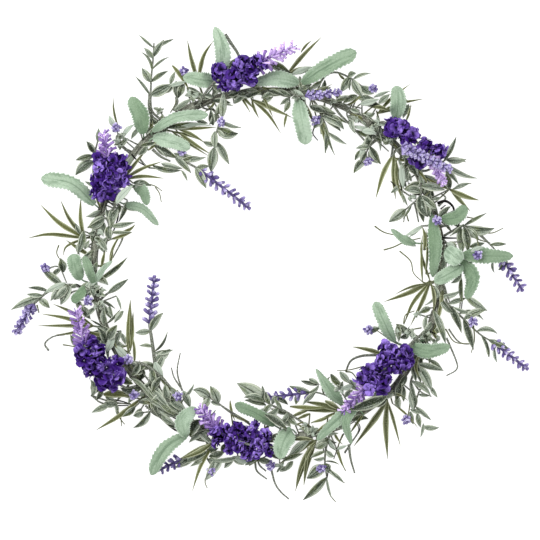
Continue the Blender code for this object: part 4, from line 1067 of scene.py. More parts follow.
looseGreens = {
    "dark": [(105, 344, 97, 328, 8, 13), (431, 308, 420, 313, 7, 12), (373, 133, 366, 150, 8, 14),
        (370, 146, 381, 164, 8, 13), (154, 145, 177, 158, 11, 12), (165, 127, 200, 126, 4, 10),
        (123, 207, 141, 210, 7, 11), (97, 281, 127, 257, 6, 10), (107, 340, 117, 325, 11, 17),
        (121, 378, 133, 384, 8, 17), (102, 381, 93, 395, 9, 11), (200, 420, 190, 437, 12, 17),
        (286, 428, 262, 412, 9, 30), (408, 163, 418, 176, 9, 12), (331, 374, 344, 388, 7, 13),
        (400, 382, 396, 402, 8, 12), (429, 199, 437, 211, 6, 17), (104, 301, 115, 309, 3, 10),
        (106, 324, 120, 309, 3, 10), (103, 327, 90, 320, 3, 11), (410, 335, 400, 338, 6, 12),
        (408, 330, 396, 324, 6, 12), (310, 106, 326, 112, 8, 13), (301, 381, 318, 386, 4, 11),
        (120, 205, 116, 215, 7, 15), (324, 452, 310, 459, 4, 9), (370, 134, 383, 141, 5, 12),
        (173, 87, 160, 92, 8, 17), (284, 463, 280, 472, 4, 10), (243, 98, 262, 91, 6, 14),
        (268, 90, 284, 95, 6, 15), (228, 95, 240, 91, 5, 13), (166, 127, 203, 123, 7, 14),
        (176, 81, 177, 98, 9, 15), (184, 84, 178, 98, 8, 16), (213, 125, 211, 109, 8, 12),
        (266, 62, 291, 73, 9, 14), (322, 91, 325, 79, 5, 12), (362, 101, 384, 107, 8, 14),
        (324, 118, 341, 131, 7, 11), (462, 277, 463, 304, 5, 11), (464, 227, 468, 252, 9, 17),
        (471, 258, 473, 270, 4, 18), (493, 260, 494, 273, 3, 25), (63, 272, 60, 258, 9, 10),
        (82, 306, 90, 319, 9, 12), (127, 200, 118, 222, 6, 12), (276, 398, 288, 405, 6, 13),
        # painted shade: the leaves from (386, 396) and (386, 399) lie dark over the upper half of lamb's ear
        # 20
        (268, 454, 290, 459, 6, 11), (226, 444, 222, 455, 7, 11), (386, 396, 348, 409, 12, 34),
        (386, 399, 372, 406, 9, 26), (446, 225, 452, 232, 4, 12), (290, 80, 300, 86, 5, 14),
        (268, 414, 287, 429, 10, 22), (302, 381, 320, 385, 4, 12), (152, 165, 181, 170, 6, 9),
        (357, 95, 343, 103, 7, 14), (325, 114, 347, 123, 5, 12), (51, 276, 61, 267, 6, 9),
        (166, 421, 177, 428, 5, 12), (135, 407, 122, 417, 7, 12), (323, 123, 321, 134, 5, 10),
        (209, 457, 225, 452, 8, 10), (450, 189, 446, 173, 9, 13), (254, 86, 268, 75, 10, 13),
        (150, 118, 158, 124, 6, 12), (194, 436, 210, 439, 6, 10)],
    "grey": [(434, 311, 446, 344, 8, 13), (161, 163, 182, 168, 7, 10), (170, 84, 175, 71, 5, 16),
        (215, 131, 215, 149, 8, 11), (222, 117, 223, 91, 8, 12), (300, 90, 312, 84, 6, 13),
        (318, 88, 331, 87, 5, 13), (357, 97, 374, 98, 7, 15), (399, 189, 408, 206, 4, 11),
        (417, 200, 424, 222, 8, 14), (350, 380, 359, 391, 8, 14), (488, 345, 490, 358, 4, 10),
        (495, 348, 498, 363, 4, 10), (133, 183, 151, 186, 7, 15), (184, 398, 194, 384, 5, 14),
        (183, 391, 190, 408, 8, 14), (161, 415, 176, 425, 7, 12), (190, 437, 212, 442, 4, 11),
        (192, 462, 174, 469, 6, 9), (286, 415, 270, 409, 6, 12), (286, 414, 298, 426, 7, 12),
        (78, 347, 70, 335, 7, 11), (466, 296, 488, 311, 8, 12), (401, 172, 408, 188, 5, 12),
        (181, 170, 187, 181, 3, 9), (116, 140, 122, 133, 6, 13), (120, 146, 128, 138, 6, 12),
        (104, 216, 87, 228, 9, 12), (106, 210, 112, 222, 8, 14), (113, 208, 111, 225, 8, 16),
        (83, 231, 77, 254, 9, 11), (80, 234, 75, 223, 5, 11), (76, 300, 84, 313, 8, 10),
        (83, 296, 96, 290, 7, 14), (88, 291, 100, 286, 8, 13), (80, 287, 92, 284, 7, 12),
        (116, 296, 121, 310, 3, 11), (123, 311, 114, 323, 6, 12), (109, 306, 113, 318, 5, 9),
        (120, 333, 125, 345, 5, 12), (133, 370, 148, 363, 8, 14), (105, 397, 117, 404, 6, 10),
        (141, 409, 133, 416, 6, 11), (117, 406, 116, 415, 4, 9), (142, 385, 154, 397, 8, 14),
        (150, 379, 160, 399, 6, 15), (156, 386, 165, 404, 8, 16), (161, 390, 171, 402, 7, 14),
        (138, 402, 156, 402, 7, 12), (157, 408, 175, 417, 8, 13), (170, 400, 187, 411, 9, 15),
        (165, 395, 180, 399, 7, 16), (176, 412, 190, 418, 7, 13), (208, 452, 175, 465, 8, 9),
        (208, 453, 190, 467, 6, 8), (215, 460, 205, 480, 8, 9), (238, 458, 210, 460, 6, 9),
        (233, 460, 224, 469, 7, 8), (213, 441, 194, 440, 3, 9), (244, 465, 231, 459, 6, 9),
        (293, 462, 285, 472, 6, 10), (310, 440, 288, 460, 9, 12), (317, 449, 328, 443, 7, 10),
        (340, 372, 351, 384, 7, 13), (368, 332, 381, 328, 7, 9), (428, 360, 443, 370, 5, 10),
        (399, 397, 401, 409, 7, 11), (411, 412, 414, 425, 6, 9), (418, 414, 421, 428, 6, 9),
        (416, 407, 432, 421, 5, 9), (423, 427, 440, 428, 6, 9), (424, 424, 421, 438, 4, 9),
        (420, 175, 425, 194, 6, 12), (425, 203, 430, 217, 9, 18), (464, 224, 450, 236, 6, 14),
        (467, 228, 479, 238, 7, 13), (366, 159, 354, 173, 9, 10), (360, 150, 355, 160, 5, 11),
        (369, 151, 378, 163, 7, 11), (423, 175, 449, 189, 8, 11), (336, 100, 352, 96, 6, 16),
        (347, 116, 361, 121, 4, 12), (350, 108, 361, 112, 5, 14), (236, 94, 254, 98, 7, 14),
        (246, 90, 262, 95, 6, 14), (262, 98, 278, 92, 6, 13), (276, 90, 292, 96, 6, 14),
        (234, 103, 248, 93, 7, 12), (205, 99, 196, 92, 6, 12), (213, 97, 203, 95, 6, 12),
        (228, 93, 240, 98, 7, 10), (272, 97, 261, 102, 6, 9), (290, 97, 280, 104, 5, 9),
        (268, 440, 258, 432, 5, 12), (400, 186, 391, 193, 5, 12), (415, 152, 402, 158, 6, 12),
        (435, 228, 426, 238, 5, 12), (432, 322, 424, 333, 6, 12), (395, 391, 382, 399, 7, 12),
        (380, 400, 366, 409, 6, 12), (350, 422, 338, 428, 6, 12), (326, 434, 314, 437, 6, 12),
        (225, 433, 214, 438, 6, 11), (170, 116, 160, 124, 6, 12), (147, 146, 138, 155, 6, 12),
        (103, 222, 98, 236, 7, 12), (97, 262, 92, 275, 5, 11), (100, 240, 107, 250, 5, 11),
        (134, 395, 128, 404, 6, 12), (448, 243, 457, 249, 8, 16), (222, 459, 206, 481, 9, 9),
        (266, 405, 244, 400, 6, 20), (117, 209, 110, 228, 8, 15), (66, 284, 60, 303, 6, 10),
        (229, 68, 236, 58, 5, 16), (300, 76, 301, 89, 5, 13), (213, 84, 222, 93, 6, 12),
        (187, 87, 200, 92, 5, 13), (290, 101, 284, 112, 6, 9), (174, 110, 192, 98, 6, 14),
        (196, 120, 208, 123, 5, 14), (174, 153, 194, 156, 6, 12), (146, 134, 152, 128, 4, 14),
        (139, 128, 131, 139, 5, 12), (310, 89, 323, 80, 6, 13), (379, 103, 390, 94, 7, 14),
        (409, 104, 403, 118, 6, 14), (399, 160, 406, 170, 4, 11), (405, 172, 412, 181, 6, 11),
        (397, 174, 398, 187, 4, 10), (454, 189, 471, 183, 5, 12), (433, 199, 441, 197, 5, 14),
        (463, 241, 463, 252, 6, 16), (470, 247, 485, 243, 6, 18), (508, 261, 499, 270, 6, 11),
        (461, 273, 451, 283, 6, 20), (427, 316, 426, 332, 5, 12), (454, 307, 473, 313, 4, 12),
        (398, 324, 399, 342, 7, 14), (411, 346, 417, 341, 5, 20), (431, 387, 438, 398, 5, 9),
        (345, 397, 353, 390, 7, 16), (309, 379, 319, 384, 5, 14), (299, 394, 296, 405, 6, 12),
        (277, 396, 272, 405, 6, 14), (284, 420, 291, 427, 7, 14), (284, 461, 303, 454, 6, 12),
        (280, 472, 288, 467, 5, 9), (327, 451, 335, 457, 6, 10), (404, 387, 404, 402, 6, 10),
        (411, 410, 422, 414, 5, 9), (419, 395, 431, 396, 4, 9), (96, 187, 84, 181, 4, 10),
        (119, 189, 122, 196, 5, 12), (84, 249, 89, 240, 5, 12), (78, 243, 79, 255, 4, 12),
        (101, 244, 103, 252, 5, 9), (70, 288, 79, 285, 5, 10), (105, 306, 111, 319, 5, 10),
        (121, 331, 116, 345, 6, 13), (204, 397, 206, 404, 4, 16), (211, 402, 220, 406, 5, 14),
        (130, 378, 150, 398, 5, 16), (140, 384, 161, 405, 6, 17), (150, 388, 171, 410, 6, 16),
        (158, 398, 178, 416, 6, 15), (146, 398, 168, 412, 5, 14), (165, 402, 186, 418, 6, 16)],
    "pale": [(123, 137, 134, 124, 6, 14), (168, 86, 187, 81, 5, 18), (176, 129, 212, 126, 4, 16),
        (292, 74, 315, 67, 7, 14), (360, 104, 379, 99, 7, 16), (416, 246, 394, 235, 7, 12),
        (115, 127, 109, 115, 6, 14), (117, 204, 134, 186, 8, 38), (135, 188, 148, 184, 8, 14),
        (65, 283, 43, 293, 7, 11), (85, 286, 97, 281, 6, 16), (106, 352, 113, 331, 8, 15),
        (127, 360, 113, 345, 8, 15), (155, 362, 163, 379, 9, 15), (250, 462, 232, 457, 8, 10),
        (329, 440, 336, 450, 6, 11), (337, 450, 348, 446, 4, 10), (402, 164, 404, 189, 7, 13),
        (411, 196, 417, 197, 5, 14), (420, 200, 432, 212, 6, 19), (374, 97, 390, 91, 5, 14),
        (353, 126, 375, 130, 5, 14), (362, 131, 377, 134, 7, 16), (377, 124, 391, 123, 5, 16),
        (366, 140, 360, 158, 6, 12), (384, 144, 392, 138, 5, 18), (292, 90, 306, 100, 7, 13),
        (423, 226, 405, 236, 5, 12), (421, 226, 410, 237, 5, 12), (447, 243, 456, 247, 6, 18),
        (470, 252, 483, 247, 5, 32), (411, 391, 413, 411, 7, 10), (353, 386, 341, 390, 6, 15)],
}
looseBlades = [(134, 363, 132, 336, 4, 10), (424, 250, 422, 226, 5, 13), (406, 121, 411, 104, 3, 14),
    (385, 355, 352, 347, 5, 14), (292, 417, 311, 410, 4, 11), (172, 65, 189, 90, 5, 12),
    (177, 131, 211, 154, 4, 10), (178, 129, 205, 143, 4, 12), (118, 127, 113, 97, 3, 12),
    (121, 232, 135, 224, 4, 10), (111, 239, 132, 232, 4, 10), (109, 265, 113, 248, 3, 12),
    (109, 262, 122, 233, 3, 9), (101, 267, 105, 250, 4, 10), (128, 345, 130, 300, 4, 10),
    (130, 350, 132, 313, 4, 10), (157, 373, 173, 395, 5, 12), (103, 395, 132, 397, 9, 9),
    (231, 414, 249, 423, 4, 12), (230, 401, 235, 421, 3, 10), (213, 443, 180, 459, 6, 11),
    (317, 440, 296, 490, 5, 9), (308, 448, 304, 486, 5, 9), (393, 404, 418, 428, 2.5, 9),
    (450, 189, 480, 200, 6, 11), (452, 191, 471, 211, 4.5, 10), (428, 284, 395, 295, 3, 9),
    (431, 283, 433, 314, 4.5, 12), (434, 330, 437, 340, 5, 11), (423, 282, 423, 236, 3, 11),
    (426, 274, 426, 228, 3, 12), (372, 107, 391, 112, 5, 14), (301, 52, 312, 40, 3, 14),
    (262, 94, 273, 117, 3, 9), (240, 95, 250, 112, 3, 9), (397, 160, 405, 203, 4, 10),
    (303, 100, 316, 127, 4, 9), (317, 118, 326, 153, 4, 9), (322, 117, 334, 153, 3, 9),
    (290, 407, 328, 408, 5, 10), (310, 414, 296, 420, 4, 11), (328, 418, 311, 423, 4, 10),
    (148, 150, 163, 137, 4, 11), (334, 432, 343, 445, 3, 9), (345, 79, 338, 72, 3, 12),
    (411, 144, 416, 132, 4, 12), (181, 129, 216, 127, 4, 13), (287, 113, 284, 128, 3, 9),
    (427, 178, 450, 190, 4, 14), (325, 401, 342, 411, 6, 18), (339, 450, 346, 471, 3, 9)]
looseTwigs = [  # radius, then places along the twig
    (1.4, (333, 104, 12), (340, 114, 13), (350, 124, 12), (361, 136, 11), (372, 148, 9)),
    (2.1, (150, 94, 16), (149, 105, 14), (151, 115, 12), (158, 121, 10)),
    (0.7, (148, 184, 14), (155, 186, 12), (162, 191, 11)),
    (0.7, (155, 187, 12), (159, 193, 11), (161, 202, 10)),
    (1.5, (176, 97, 16), (177, 102, 14), (173, 110, 11)),
    (1.6, (378, 355, 14), (362, 356, 14), (351, 361, 12), (346, 372, 10)),
    (0.7, (362, 367, 12), (350, 370, 12), (337, 371, 13)),
    (1.0, (182, 391, 13), (177, 372, 11), (180, 353, 9)),
    (1.0, (182, 390, 13), (174, 378, 11), (171, 368, 9)),
    (1.0, (449, 329, 12), (457, 340, 12), (464, 344, 11), (473, 344, 10)),
    (0.8, (474, 325, 12), (475, 340, 11), (472, 353, 9)),
    (0.7, (205, 479, 9), (205, 484, 9), (207, 489, 8)),
    (1.2, (415, 203, 13), (417, 212, 12), (419, 222, 11)),
    (1.9, (225, 34, 14), (231, 43, 15), (238, 54, 17), (242, 68, 18)),
    (0.9, (176, 97, 14), (175, 104, 13), (170, 112, 9)),
    (1.0, (198, 97, 12), (202, 107, 11), (215, 110, 9)),
    (1.1, (138, 157, 8), (146, 166, 9), (154, 168, 9), (170, 169, 9)),
    (1.2, (118, 213, 14), (110, 229, 12), (103, 254, 9)),
    (1.1, (123, 232, 10), (121, 241, 10), (112, 258, 8)), (0.8, (58, 245, 9), (56, 253, 10), (60, 261, 10)),
    (1.0, (46, 269, 10), (58, 267, 10), (66, 283, 9)), (1.2, (60, 304, 9), (72, 292, 10), (88, 290, 10)),
    (0.9, (36, 305, 8), (38, 313, 7)), (1.1, (149, 368, 12), (151, 375, 12), (154, 384, 10)),
    (1.1, (145, 406, 12), (160, 418, 11), (172, 429, 8), (181, 430, 8)),
    (1.0, (90, 396, 8), (110, 402, 9), (131, 405, 8)), (0.8, (102, 405, 8), (118, 404, 8), (130, 404, 8)),
    (0.8, (117, 408, 8), (119, 418, 8), (124, 425, 7)), (0.7, (119, 415, 8), (114, 422, 7)),
    (0.7, (120, 416, 8), (121, 427, 7)),
    (1.1, (249, 423, 10), (231, 412, 14), (219, 404, 15), (210, 397, 15)),
    (0.9, (249, 466, 9), (258, 461, 10), (266, 457, 10)),
    (1.2, (255, 463, 9), (257, 472, 9), (267, 480, 8)),
    (1.0, (273, 406, 20), (295, 418, 15), (312, 430, 9)),
    (0.9, (296, 425, 12), (304, 423, 14), (312, 428, 10)),
    (1.0, (345, 453, 8), (352, 443, 9), (359, 431, 10), (357, 423, 9)),
    (0.8, (329, 470, 9), (337, 479, 8), (345, 484, 7)), (0.8, (328, 490, 7), (331, 497, 7), (336, 503, 6)),
    (0.9, (337, 452, 9), (340, 460, 8), (346, 472, 7)), (1.5, (349, 445, 9), (351, 460, 8), (355, 474, 7)),
    (0.9, (343, 435, 9), (339, 445, 9), (337, 455, 9)),
    (0.8, (446, 329, 12), (455, 342, 13), (471, 344, 12)),
    (1.1, (447, 338, 12), (457, 362, 11), (457, 370, 11), (447, 376, 10)),
    (0.8, (422, 328, 10), (411, 330, 11), (404, 333, 11)),
    (0.8, (404, 324, 11), (406, 315, 11), (415, 311, 10)),
    (1.1, (462, 286, 12), (461, 300, 12), (460, 310, 11)),
    (1.0, (445, 286, 9), (448, 296, 10), (451, 304, 9)),
    (1.1, (419, 361, 10), (411, 382, 10), (412, 396, 9)),
    (1.0, (424, 383, 9), (418, 396, 9), (416, 407, 9)), (1.0, (413, 381, 10), (421, 392, 9), (432, 397, 9)),
    (0.9, (411, 396, 9), (410, 408, 9), (408, 418, 9)),
    (1.1, (420, 196, 13), (427, 197, 14), (435, 196, 12)),
    (1.0, (402, 190, 11), (409, 195, 12), (417, 199, 12)),
    (0.8, (424, 198, 14), (431, 190, 13), (438, 182, 12)),
    (0.7, (452, 190, 11), (460, 185, 12), (472, 183, 12)),
    (0.7, (467, 217, 14), (477, 218, 14), (487, 213, 13)),
    (1.3, (441, 225, 11), (447, 226, 12), (452, 223, 13)),
    (1.1, (442, 238, 9), (449, 238, 10), (456, 238, 11)),
    (0.9, (464, 229, 13), (476, 238, 12), (491, 243, 11)),
    (1.0, (478, 230, 13), (483, 236, 12), (489, 242, 11)),
    (0.8, (479, 231, 13), (492, 233, 12), (504, 228, 11)),
    (0.8, (476, 234, 13), (478, 244, 22), (478, 252, 30)),
    (0.8, (400, 251, 9), (411, 261, 9), (414, 273, 9), (423, 282, 10)),
    (0.9, (375, 226, 9), (384, 232, 10), (395, 235, 13)),
    (0.9, (384, 250, 8), (394, 247, 9), (405, 242, 11), (421, 238, 12)),
    (1.0, (372, 136, 14), (380, 143, 14), (389, 151, 10)),
    (0.9, (365, 151, 11), (367, 156, 12), (368, 160, 12)),
    (1.0, (350, 120, 12), (347, 113, 14), (352, 108, 15), (360, 110, 14)),
    (1.1, (330, 101, 12), (345, 104, 14), (362, 108, 12)),
    (1.2, (439, 206, 11), (446, 198, 13), (441, 193, 12)),
    (1.1, (48, 351, 8), (44, 344, 8), (52, 337, 9), (64, 335, 9)),
    (0.8, (62, 345, 9), (69, 346, 10), (79, 348, 14)), (0.9, (262, 87, 16), (270, 92, 12), (278, 95, 9)),
    (1.0, (125, 150, 10), (119, 138, 14), (117, 131, 15)),
    (0.9, (196, 84, 12), (190, 78, 13), (185, 73, 13)),
    (0.9, (186, 413, 12), (182, 404, 16), (179, 398, 18)),
    (0.9, (136, 376, 12), (132, 368, 18), (129, 362, 21)),
    (0.8, (409, 352, 9), (402, 346, 12), (392, 341, 10), (375, 329, 10)),
    (0.8, (409, 221, 10), (406, 213, 13), (404, 222, 10)),
    (1.6, (152, 149, 9), (160, 156, 9), (170, 161, 9)),
    (0.9, (346, 372, 10), (352, 373, 11), (357, 379, 12)),
    (1.2, (271, 469, 11), (275, 484, 9), (281, 493, 8), (289, 500, 7))]
blackWires = [
    (0.8, (345, 454, 8), (352, 443, 9), (360, 431, 10), (359, 424, 11), (355, 423, 12)),
    (0.8, (344, 434, 9), (339, 445, 8), (334, 460, 7)),
    (0.8, (161, 418, 10), (172, 429, 9), (178, 432, 8), (182, 429, 8)),
    (1.0, (442, 227, 11), (447, 225, 12), (453, 223, 12)),
    (1.1, (442, 237, 10), (449, 238, 11), (458, 238, 11)),
    (0.9, (251, 463, 9), (259, 460, 10), (268, 456, 11)),
    (1.0, (409, 183, 13), (414, 192, 14), (424, 197, 15), (436, 205, 14)),
    (0.8, (131, 154, 9), (139, 162, 10), (150, 168, 10)),
    (1.0, (118, 205, 14), (117, 220, 12), (109, 240, 10)),
    (0.9, (462, 284, 12), (463, 296, 12), (462, 309, 11)),
    (0.8, (198, 97, 12), (203, 107, 11), (214, 109, 10)),
    (0.7, (424, 382, 9), (420, 392, 9), (416, 404, 8)),
    (0.8, (300, 96, 14), (303, 103, 13), (300, 110, 12)),
    (0.8, (402, 190, 11), (396, 186, 13), (391, 181, 12)),
    (0.9, (112, 400, 9), (122, 402, 9), (131, 405, 9)), (0.9, (103, 405, 9), (115, 406, 9), (128, 406, 9)),
    (0.8, (315, 125, 10), (313, 133, 10), (318, 140, 9)),
    (0.8, (425, 331, 12), (434, 333, 13), (440, 340, 12)),
    (0.8, (325, 465, 9), (328, 472, 9), (327, 481, 8)), (0.8, (88, 293, 11), (81, 288, 12), (76, 284, 11)),
    (1.6, (438, 203, 12), (446, 201, 14), (453, 206, 13), (455, 213, 12)),
    (1.5, (440, 212, 11), (447, 214, 12), (454, 211, 12)), (0.8, (441, 209, 13), (446, 205, 14))]
rosettes = [  # small crinkled dusty leaves round a point: place, size
    (192, 94, 12, 7), (159, 110, 10, 5), (121, 137, 15, 6), (118, 144, 14, 6), (402, 329, 12, 6),
    (411, 333, 13, 6), (340, 389, 15, 6), (265, 411, 20, 6), (95, 232, 11, 7), (99, 241, 10, 6),
    (418, 314, 12, 5), (306, 427, 12, 6), (312, 432, 12, 6), (375, 126, 13, 6), (356, 118, 13, 5),
    (389, 141, 20, 5), (412, 197, 13, 5), (427, 205, 17, 6), (280, 468, 10, 5), (427, 337, 13, 6),
    (435, 341, 13, 5), (333, 101, 13, 5), (295, 96, 13, 6), (91, 289, 16, 7), (100, 294, 13, 6),
    (98, 307, 12, 7)]
looseLook = {"strand": 0.95, "near": 22, "stalk": 0.75, "beside": 2.2, "above": 1.5, "bow": 1.5}
rosetteLook = {"leaves": 7, "stalk": 0.7, "depth": 0.35, "outline": (0.12, 0.28, 0.34, 0.28, 0.16, 0.03)}


def looseRuns(rows, outline, tones, folds):
    # Each leaf is an arc from base to tip; its stalk is an arc from the ring to a base near it
    rows = np.array(rows, float)
    count = len(rows)
    starts = metres(rows[:, [0, 1, 5]])
    tips = metres(np.column_stack([rows[:, 2:4], rows[:, 5] + chance.uniform(-2.5, 3.0, count)]))
    length = np.linalg.norm(tips - starts, axis=1)
    lifts, bends = chance.uniform(0.02, 0.14, count), chance.normal(0, 0.05, count)
    paths = arcs(starts, tips, length * lifts, length * bends, 11)
    widths = np.interp(np.linspace(0, 1, 11), *outlines[outline])[None] * rows[:, 4:5] / 2 * mm
    leaves = shells(paths, widths, leafLook["depth"] * mm, 8, rolls=chance.normal(0, 0.3, count),
                    folds=chance.uniform(*folds, count), ruffle=0.08, waves=1.5)
    out = np.linalg.norm(starts[:, :2], axis=1)
    near = np.abs(out - ring["radius"] * mm) < looseLook["near"] * mm
    angle = np.arctan2(starts[:, 1], starts[:, 0]) + chance.normal(0, 0.025, count)
    reach = (ring["radius"] + np.sign(out - ring["radius"] * mm) * looseLook["beside"]) * mm
    feet = atAngles(angle, reach, (ring["height"] + looseLook["above"]) * mm)
    bows = np.full(near.sum(), looseLook["bow"] * mm)
    stalks = arcs(feet[near], starts[near], bows, np.zeros(near.sum()), 6)
    tubes = shells(stalks, looseLook["stalk"] * mm, looseLook["stalk"] * mm, 6)
    return [(leaves, marksOf(leaves, chance.uniform(*tones, count))), (tubes, marksOf(tubes, -1.0))]


def makeRosettes():
    # Leaves: arcs from each point outwards at golden-angle turns, rising a little; a stalk runs
    # from the ring to each point
    places = np.repeat(np.array(rosettes, float), rosetteLook["leaves"], axis=0)
    count = len(places)
    rise = chance.uniform(-0.1, 0.9, count)
    reach = places[:, 3] * chance.uniform(0.7, 1.4, count) * mm
    starts = metres(places[:, :3])
    outward = unit(atAngles(np.arange(count) * goldenTurn, 1.0, rise))
    bends = reach * chance.normal(0, 0.2, count)
    paths = arcs(starts, starts + outward * reach[:, None], reach * 0.2, bends, 6)
    widths = reach[:, None] * rosetteLook["outline"]
    rings = shells(paths, widths, rosetteLook["depth"] * mm, 6, rolls=chance.normal(0, 0.6, count),
                   folds=chance.uniform(0, 0.8, count), ruffle=0.3, waves=1.0)
    tops = starts[::rosetteLook["leaves"]]
    low = atAngles(np.arctan2(tops[:, 1], tops[:, 0]), ring["radius"] * mm, ring["height"] * mm)
    stalks = arcs(low, tops, np.full(len(tops), mm), np.zeros(len(tops)), 6)
    tubes = shells(stalks, rosetteLook["stalk"] * mm, rosetteLook["stalk"] * mm, 6)
    tones = chance.uniform(0.2, 2.2, count)
    addPiece("dusty_rosettes", [(rings, marksOf(rings, tones)), (tubes, marksOf(tubes, -1.0))], greens)


def twigTubes(rows, tone):  # a smooth tube through each row's places
    return [stemTube(smoothPath(metres(places), 16), radius, 16, tone) for radius, *places in rows]


def makeTwigs():  # twigs no thicker than a strand are grass, the rest are stems
    thick = [row for row in looseTwigs if row[0] > looseLook["strand"]]
    thin = [row for row in looseTwigs if row[0] <= looseLook["strand"]]
    addPiece("loose_twigs", twigTubes(thick, -1.0), greens)
    addPiece("loose_strands", twigTubes(thin, 0.4), grass)
    addPiece("bare_wires", twigTubes(blackWires, -2.0), greens)


huggers = {"leaves": 120, "blades": 45, "length": (11, 23), "width": (4.5, 8.0), "splay": 0.68,
           "away": 2.6, "depth": 0.4, "from": (126, 471)}  # degrees; the ring is bare from 111 to 126


def makeHuggers(name, count, slim, finish):
    # Leaves that start on the ring's upper half and lie along it either way, splayed outwards;
    # slim below 1 makes longer, narrower blades of them
    angle = np.radians(chance.uniform(*huggers["from"], count))
    side = chance.uniform(0.1, 0.9, count) * math.pi
    way = np.where(chance.uniform(0, 1, count) < 0.5, 1.0, -1.0)[:, None]
    spoke = atAngles(angle, 1.0, 0.0)
    along = np.cross(up, spoke) * way
    starts = spoke * (ring["radius"] + huggers["away"] * np.cos(side))[:, None] * mm
    starts[:, 2] = (ring["height"] + huggers["away"] * np.sin(side)) * mm
    turn = chance.uniform(0.05, huggers["splay"] * 1.6, count) * np.sign(np.cos(side))
    lengths = chance.uniform(*huggers["length"], count) * (1.3 if slim < 1 else 1.0) * mm
    heading = along * np.cos(turn)[:, None] + spoke * np.sin(turn)[:, None]
    tips = starts + lengths[:, None] * (heading + up * chance.uniform(0.0, 0.45, (count, 1)))
    lifts, bends = chance.uniform(0.05, 0.2, count), chance.normal(0, 0.1, count)
    paths = arcs(starts, tips, lengths * lifts, lengths * bends, 9)
    outline = np.interp(np.linspace(0, 1, 9), *outlines["leaf" if slim == 1 else "blade"])
    widths = outline[None] * chance.uniform(*huggers["width"], (count, 1)) / 2 * slim * mm
    rings = shells(paths, widths, huggers["depth"] * mm, 8, rolls=chance.normal(0, 0.4, count),
                   folds=chance.uniform(0.05, 0.5, count), ruffle=0.12, waves=1.2)
    addPiece(name, [(rings, marksOf(rings, chance.uniform(0.0, 1.4, count)))], finish)


makeHuggers("ring_leaves", huggers["leaves"], 1, greens)
makeHuggers("ring_blades", huggers["blades"], 0.6, grass)
for shade, tones in (("dark", (0.0, 0.25)), ("grey", (0.35, 1.0)), ("pale", (1.6, 2.2))):
    addPiece(f"{shade}_leaves", looseRuns(looseGreens[shade], "leaf", tones, (0.05, 0.45)), greens)
addPiece("loose_blades", looseRuns(looseBlades, "blade", (0.2, 1.0), (0.2, 0.5)), grass)
makeTwigs()
makeRosettes()


# Small clusters of lavender buds


budClusters = [
    (184, 71, 15), (116, 128, 17), (221, 122, 13), (45, 268, 12), (88, 301, 17), (129, 359, 24),
    (134, 395, 18), (178, 396, 21), (212, 472, 11), (271, 466, 13), (321, 469, 13), (407, 420, 11),
    (369, 330, 11), (473, 322, 15), (477, 255, 31), (437, 220, 25), (368, 161, 13), (373, 88, 15),
    (182, 151, 13), (316, 120, 13)]
clusterLook = {"bells": 11, "bell": 5.8, "mouth": 1.45, "cup": 6.5, "cupWidth": 2.2, "cupDrop": 5}
cupProfile = [(0.3, 0.0), (0.6, 0.3), (1.0, 0.8), (0.5, 1.0)]


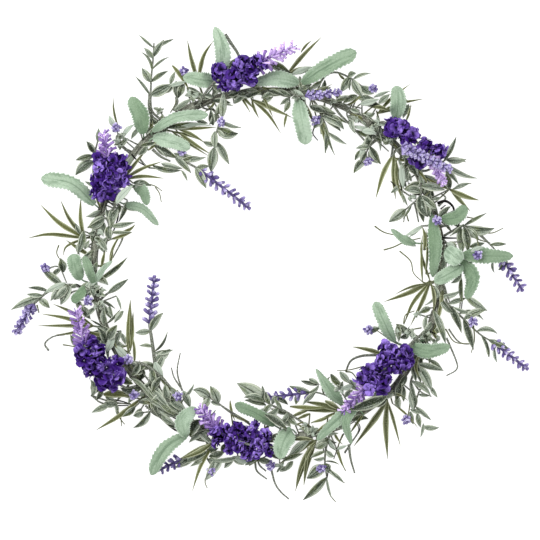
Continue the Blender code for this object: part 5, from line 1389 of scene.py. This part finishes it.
def makeClusters():
    # Bells at golden-angle turns over the upper half of each cluster, on a green cup
    centres = metres(budClusters)
    each = clusterLook["bells"]
    count = len(centres) * each
    high = np.clip(np.tile(np.linspace(0.95, 0.1, each), len(centres)) + chance.normal(0, 0.1, count), 0, 1)
    directions = atAngles(np.arange(count) * goldenTurn, np.sqrt(np.clip(1 - high**2, 0, 1)), high)
    bells = turned(np.repeat(centres, each, axis=0), directions,
                   clusterLook["bell"] * chance.uniform(0.75, 1.1, count) * mm,
                   np.full(count, clusterLook["mouth"] * mm), budProfile, 8)
    cups = turned(centres - up * clusterLook["cupDrop"] * mm, np.broadcast_to(up, centres.shape),
                  np.full(len(centres), clusterLook["cup"] * mm),
                  np.full(len(centres), clusterLook["cupWidth"] * mm), cupProfile, 8)
    addPiece("bud_clusters", [(bells, marksOf(bells, chance.uniform(0.0, 0.85, count)))], buds)
    addPiece("cluster_cups", [(cups, marksOf(cups, 0.5))], greens)


makeClusters()
print("loose greens and buds made")


# Floor, lights and camera


studio = {"lens": 200, "sensor": 36, "place": (0.002, -0.005, 3.02), "sky": 0.55, "glow": 0.90,
          "floor": 3.0, "pale": (0.30, 0.30, 0.30), "grain": (0.27, 0.27, 0.27)}
lamps = {"key": dict(place=(-0.9, 0.9, 1.6), power=46.0, size=1.6),
         "fill": dict(place=(1.2, -0.6, 1.4), power=46.0 / 3, size=1.6)}


def makeStage():
    size = studio["floor"]
    corners = [(-size, -size, 0), (size, -size, 0), (size, size, 0), (-size, size, 0)]
    floorMesh = bpy.data.meshes.new("floor")
    floorMesh.from_pydata(corners, [], [(0, 1, 2, 3)])
    floor = bpy.data.objects.new("floor", floorMesh)
    paint = Paint("pale_floor", studio)
    paint.start(paint.noise(6) * 0.2, "pale", "grain")
    glow = {"Emission Color": (1, 1, 1, 1), "Emission Strength": studio["glow"]}
    floorMesh.materials.append(paint.finish(0.9, **glow))
    bpy.context.scene.collection.objects.link(floor)
    world = bpy.data.worlds.new("soft_sky")
    world.use_nodes = True
    sky = world.node_tree.nodes["Background"]
    sky.inputs["Color"].default_value = (1, 1, 1, 1)
    sky.inputs["Strength"].default_value = studio["sky"]
    bpy.context.scene.world = world
    for name, lamp in lamps.items():
        light = bpy.data.lights.new(name, "AREA")
        light.energy, light.size = lamp["power"], lamp["size"]
        holder = bpy.data.objects.new(name, light)
        x, y, z = lamp["place"]
        holder.location = x, y, z
        holder.rotation_euler = (math.atan2(math.hypot(x, y), z), 0, math.atan2(y, x) + math.pi / 2)
        bpy.context.scene.collection.objects.link(holder)
    camera = bpy.data.cameras.new("camera")
    camera.lens, camera.sensor_width = studio["lens"], studio["sensor"]
    camera.clip_end = 20
    viewer = bpy.data.objects.new("camera", camera)
    viewer.location = studio["place"]
    bpy.context.scene.collection.objects.link(viewer)
    bpy.context.scene.camera = viewer
    bpy.context.scene.view_settings.view_transform = "Standard"


makeStage()
print("stage made")
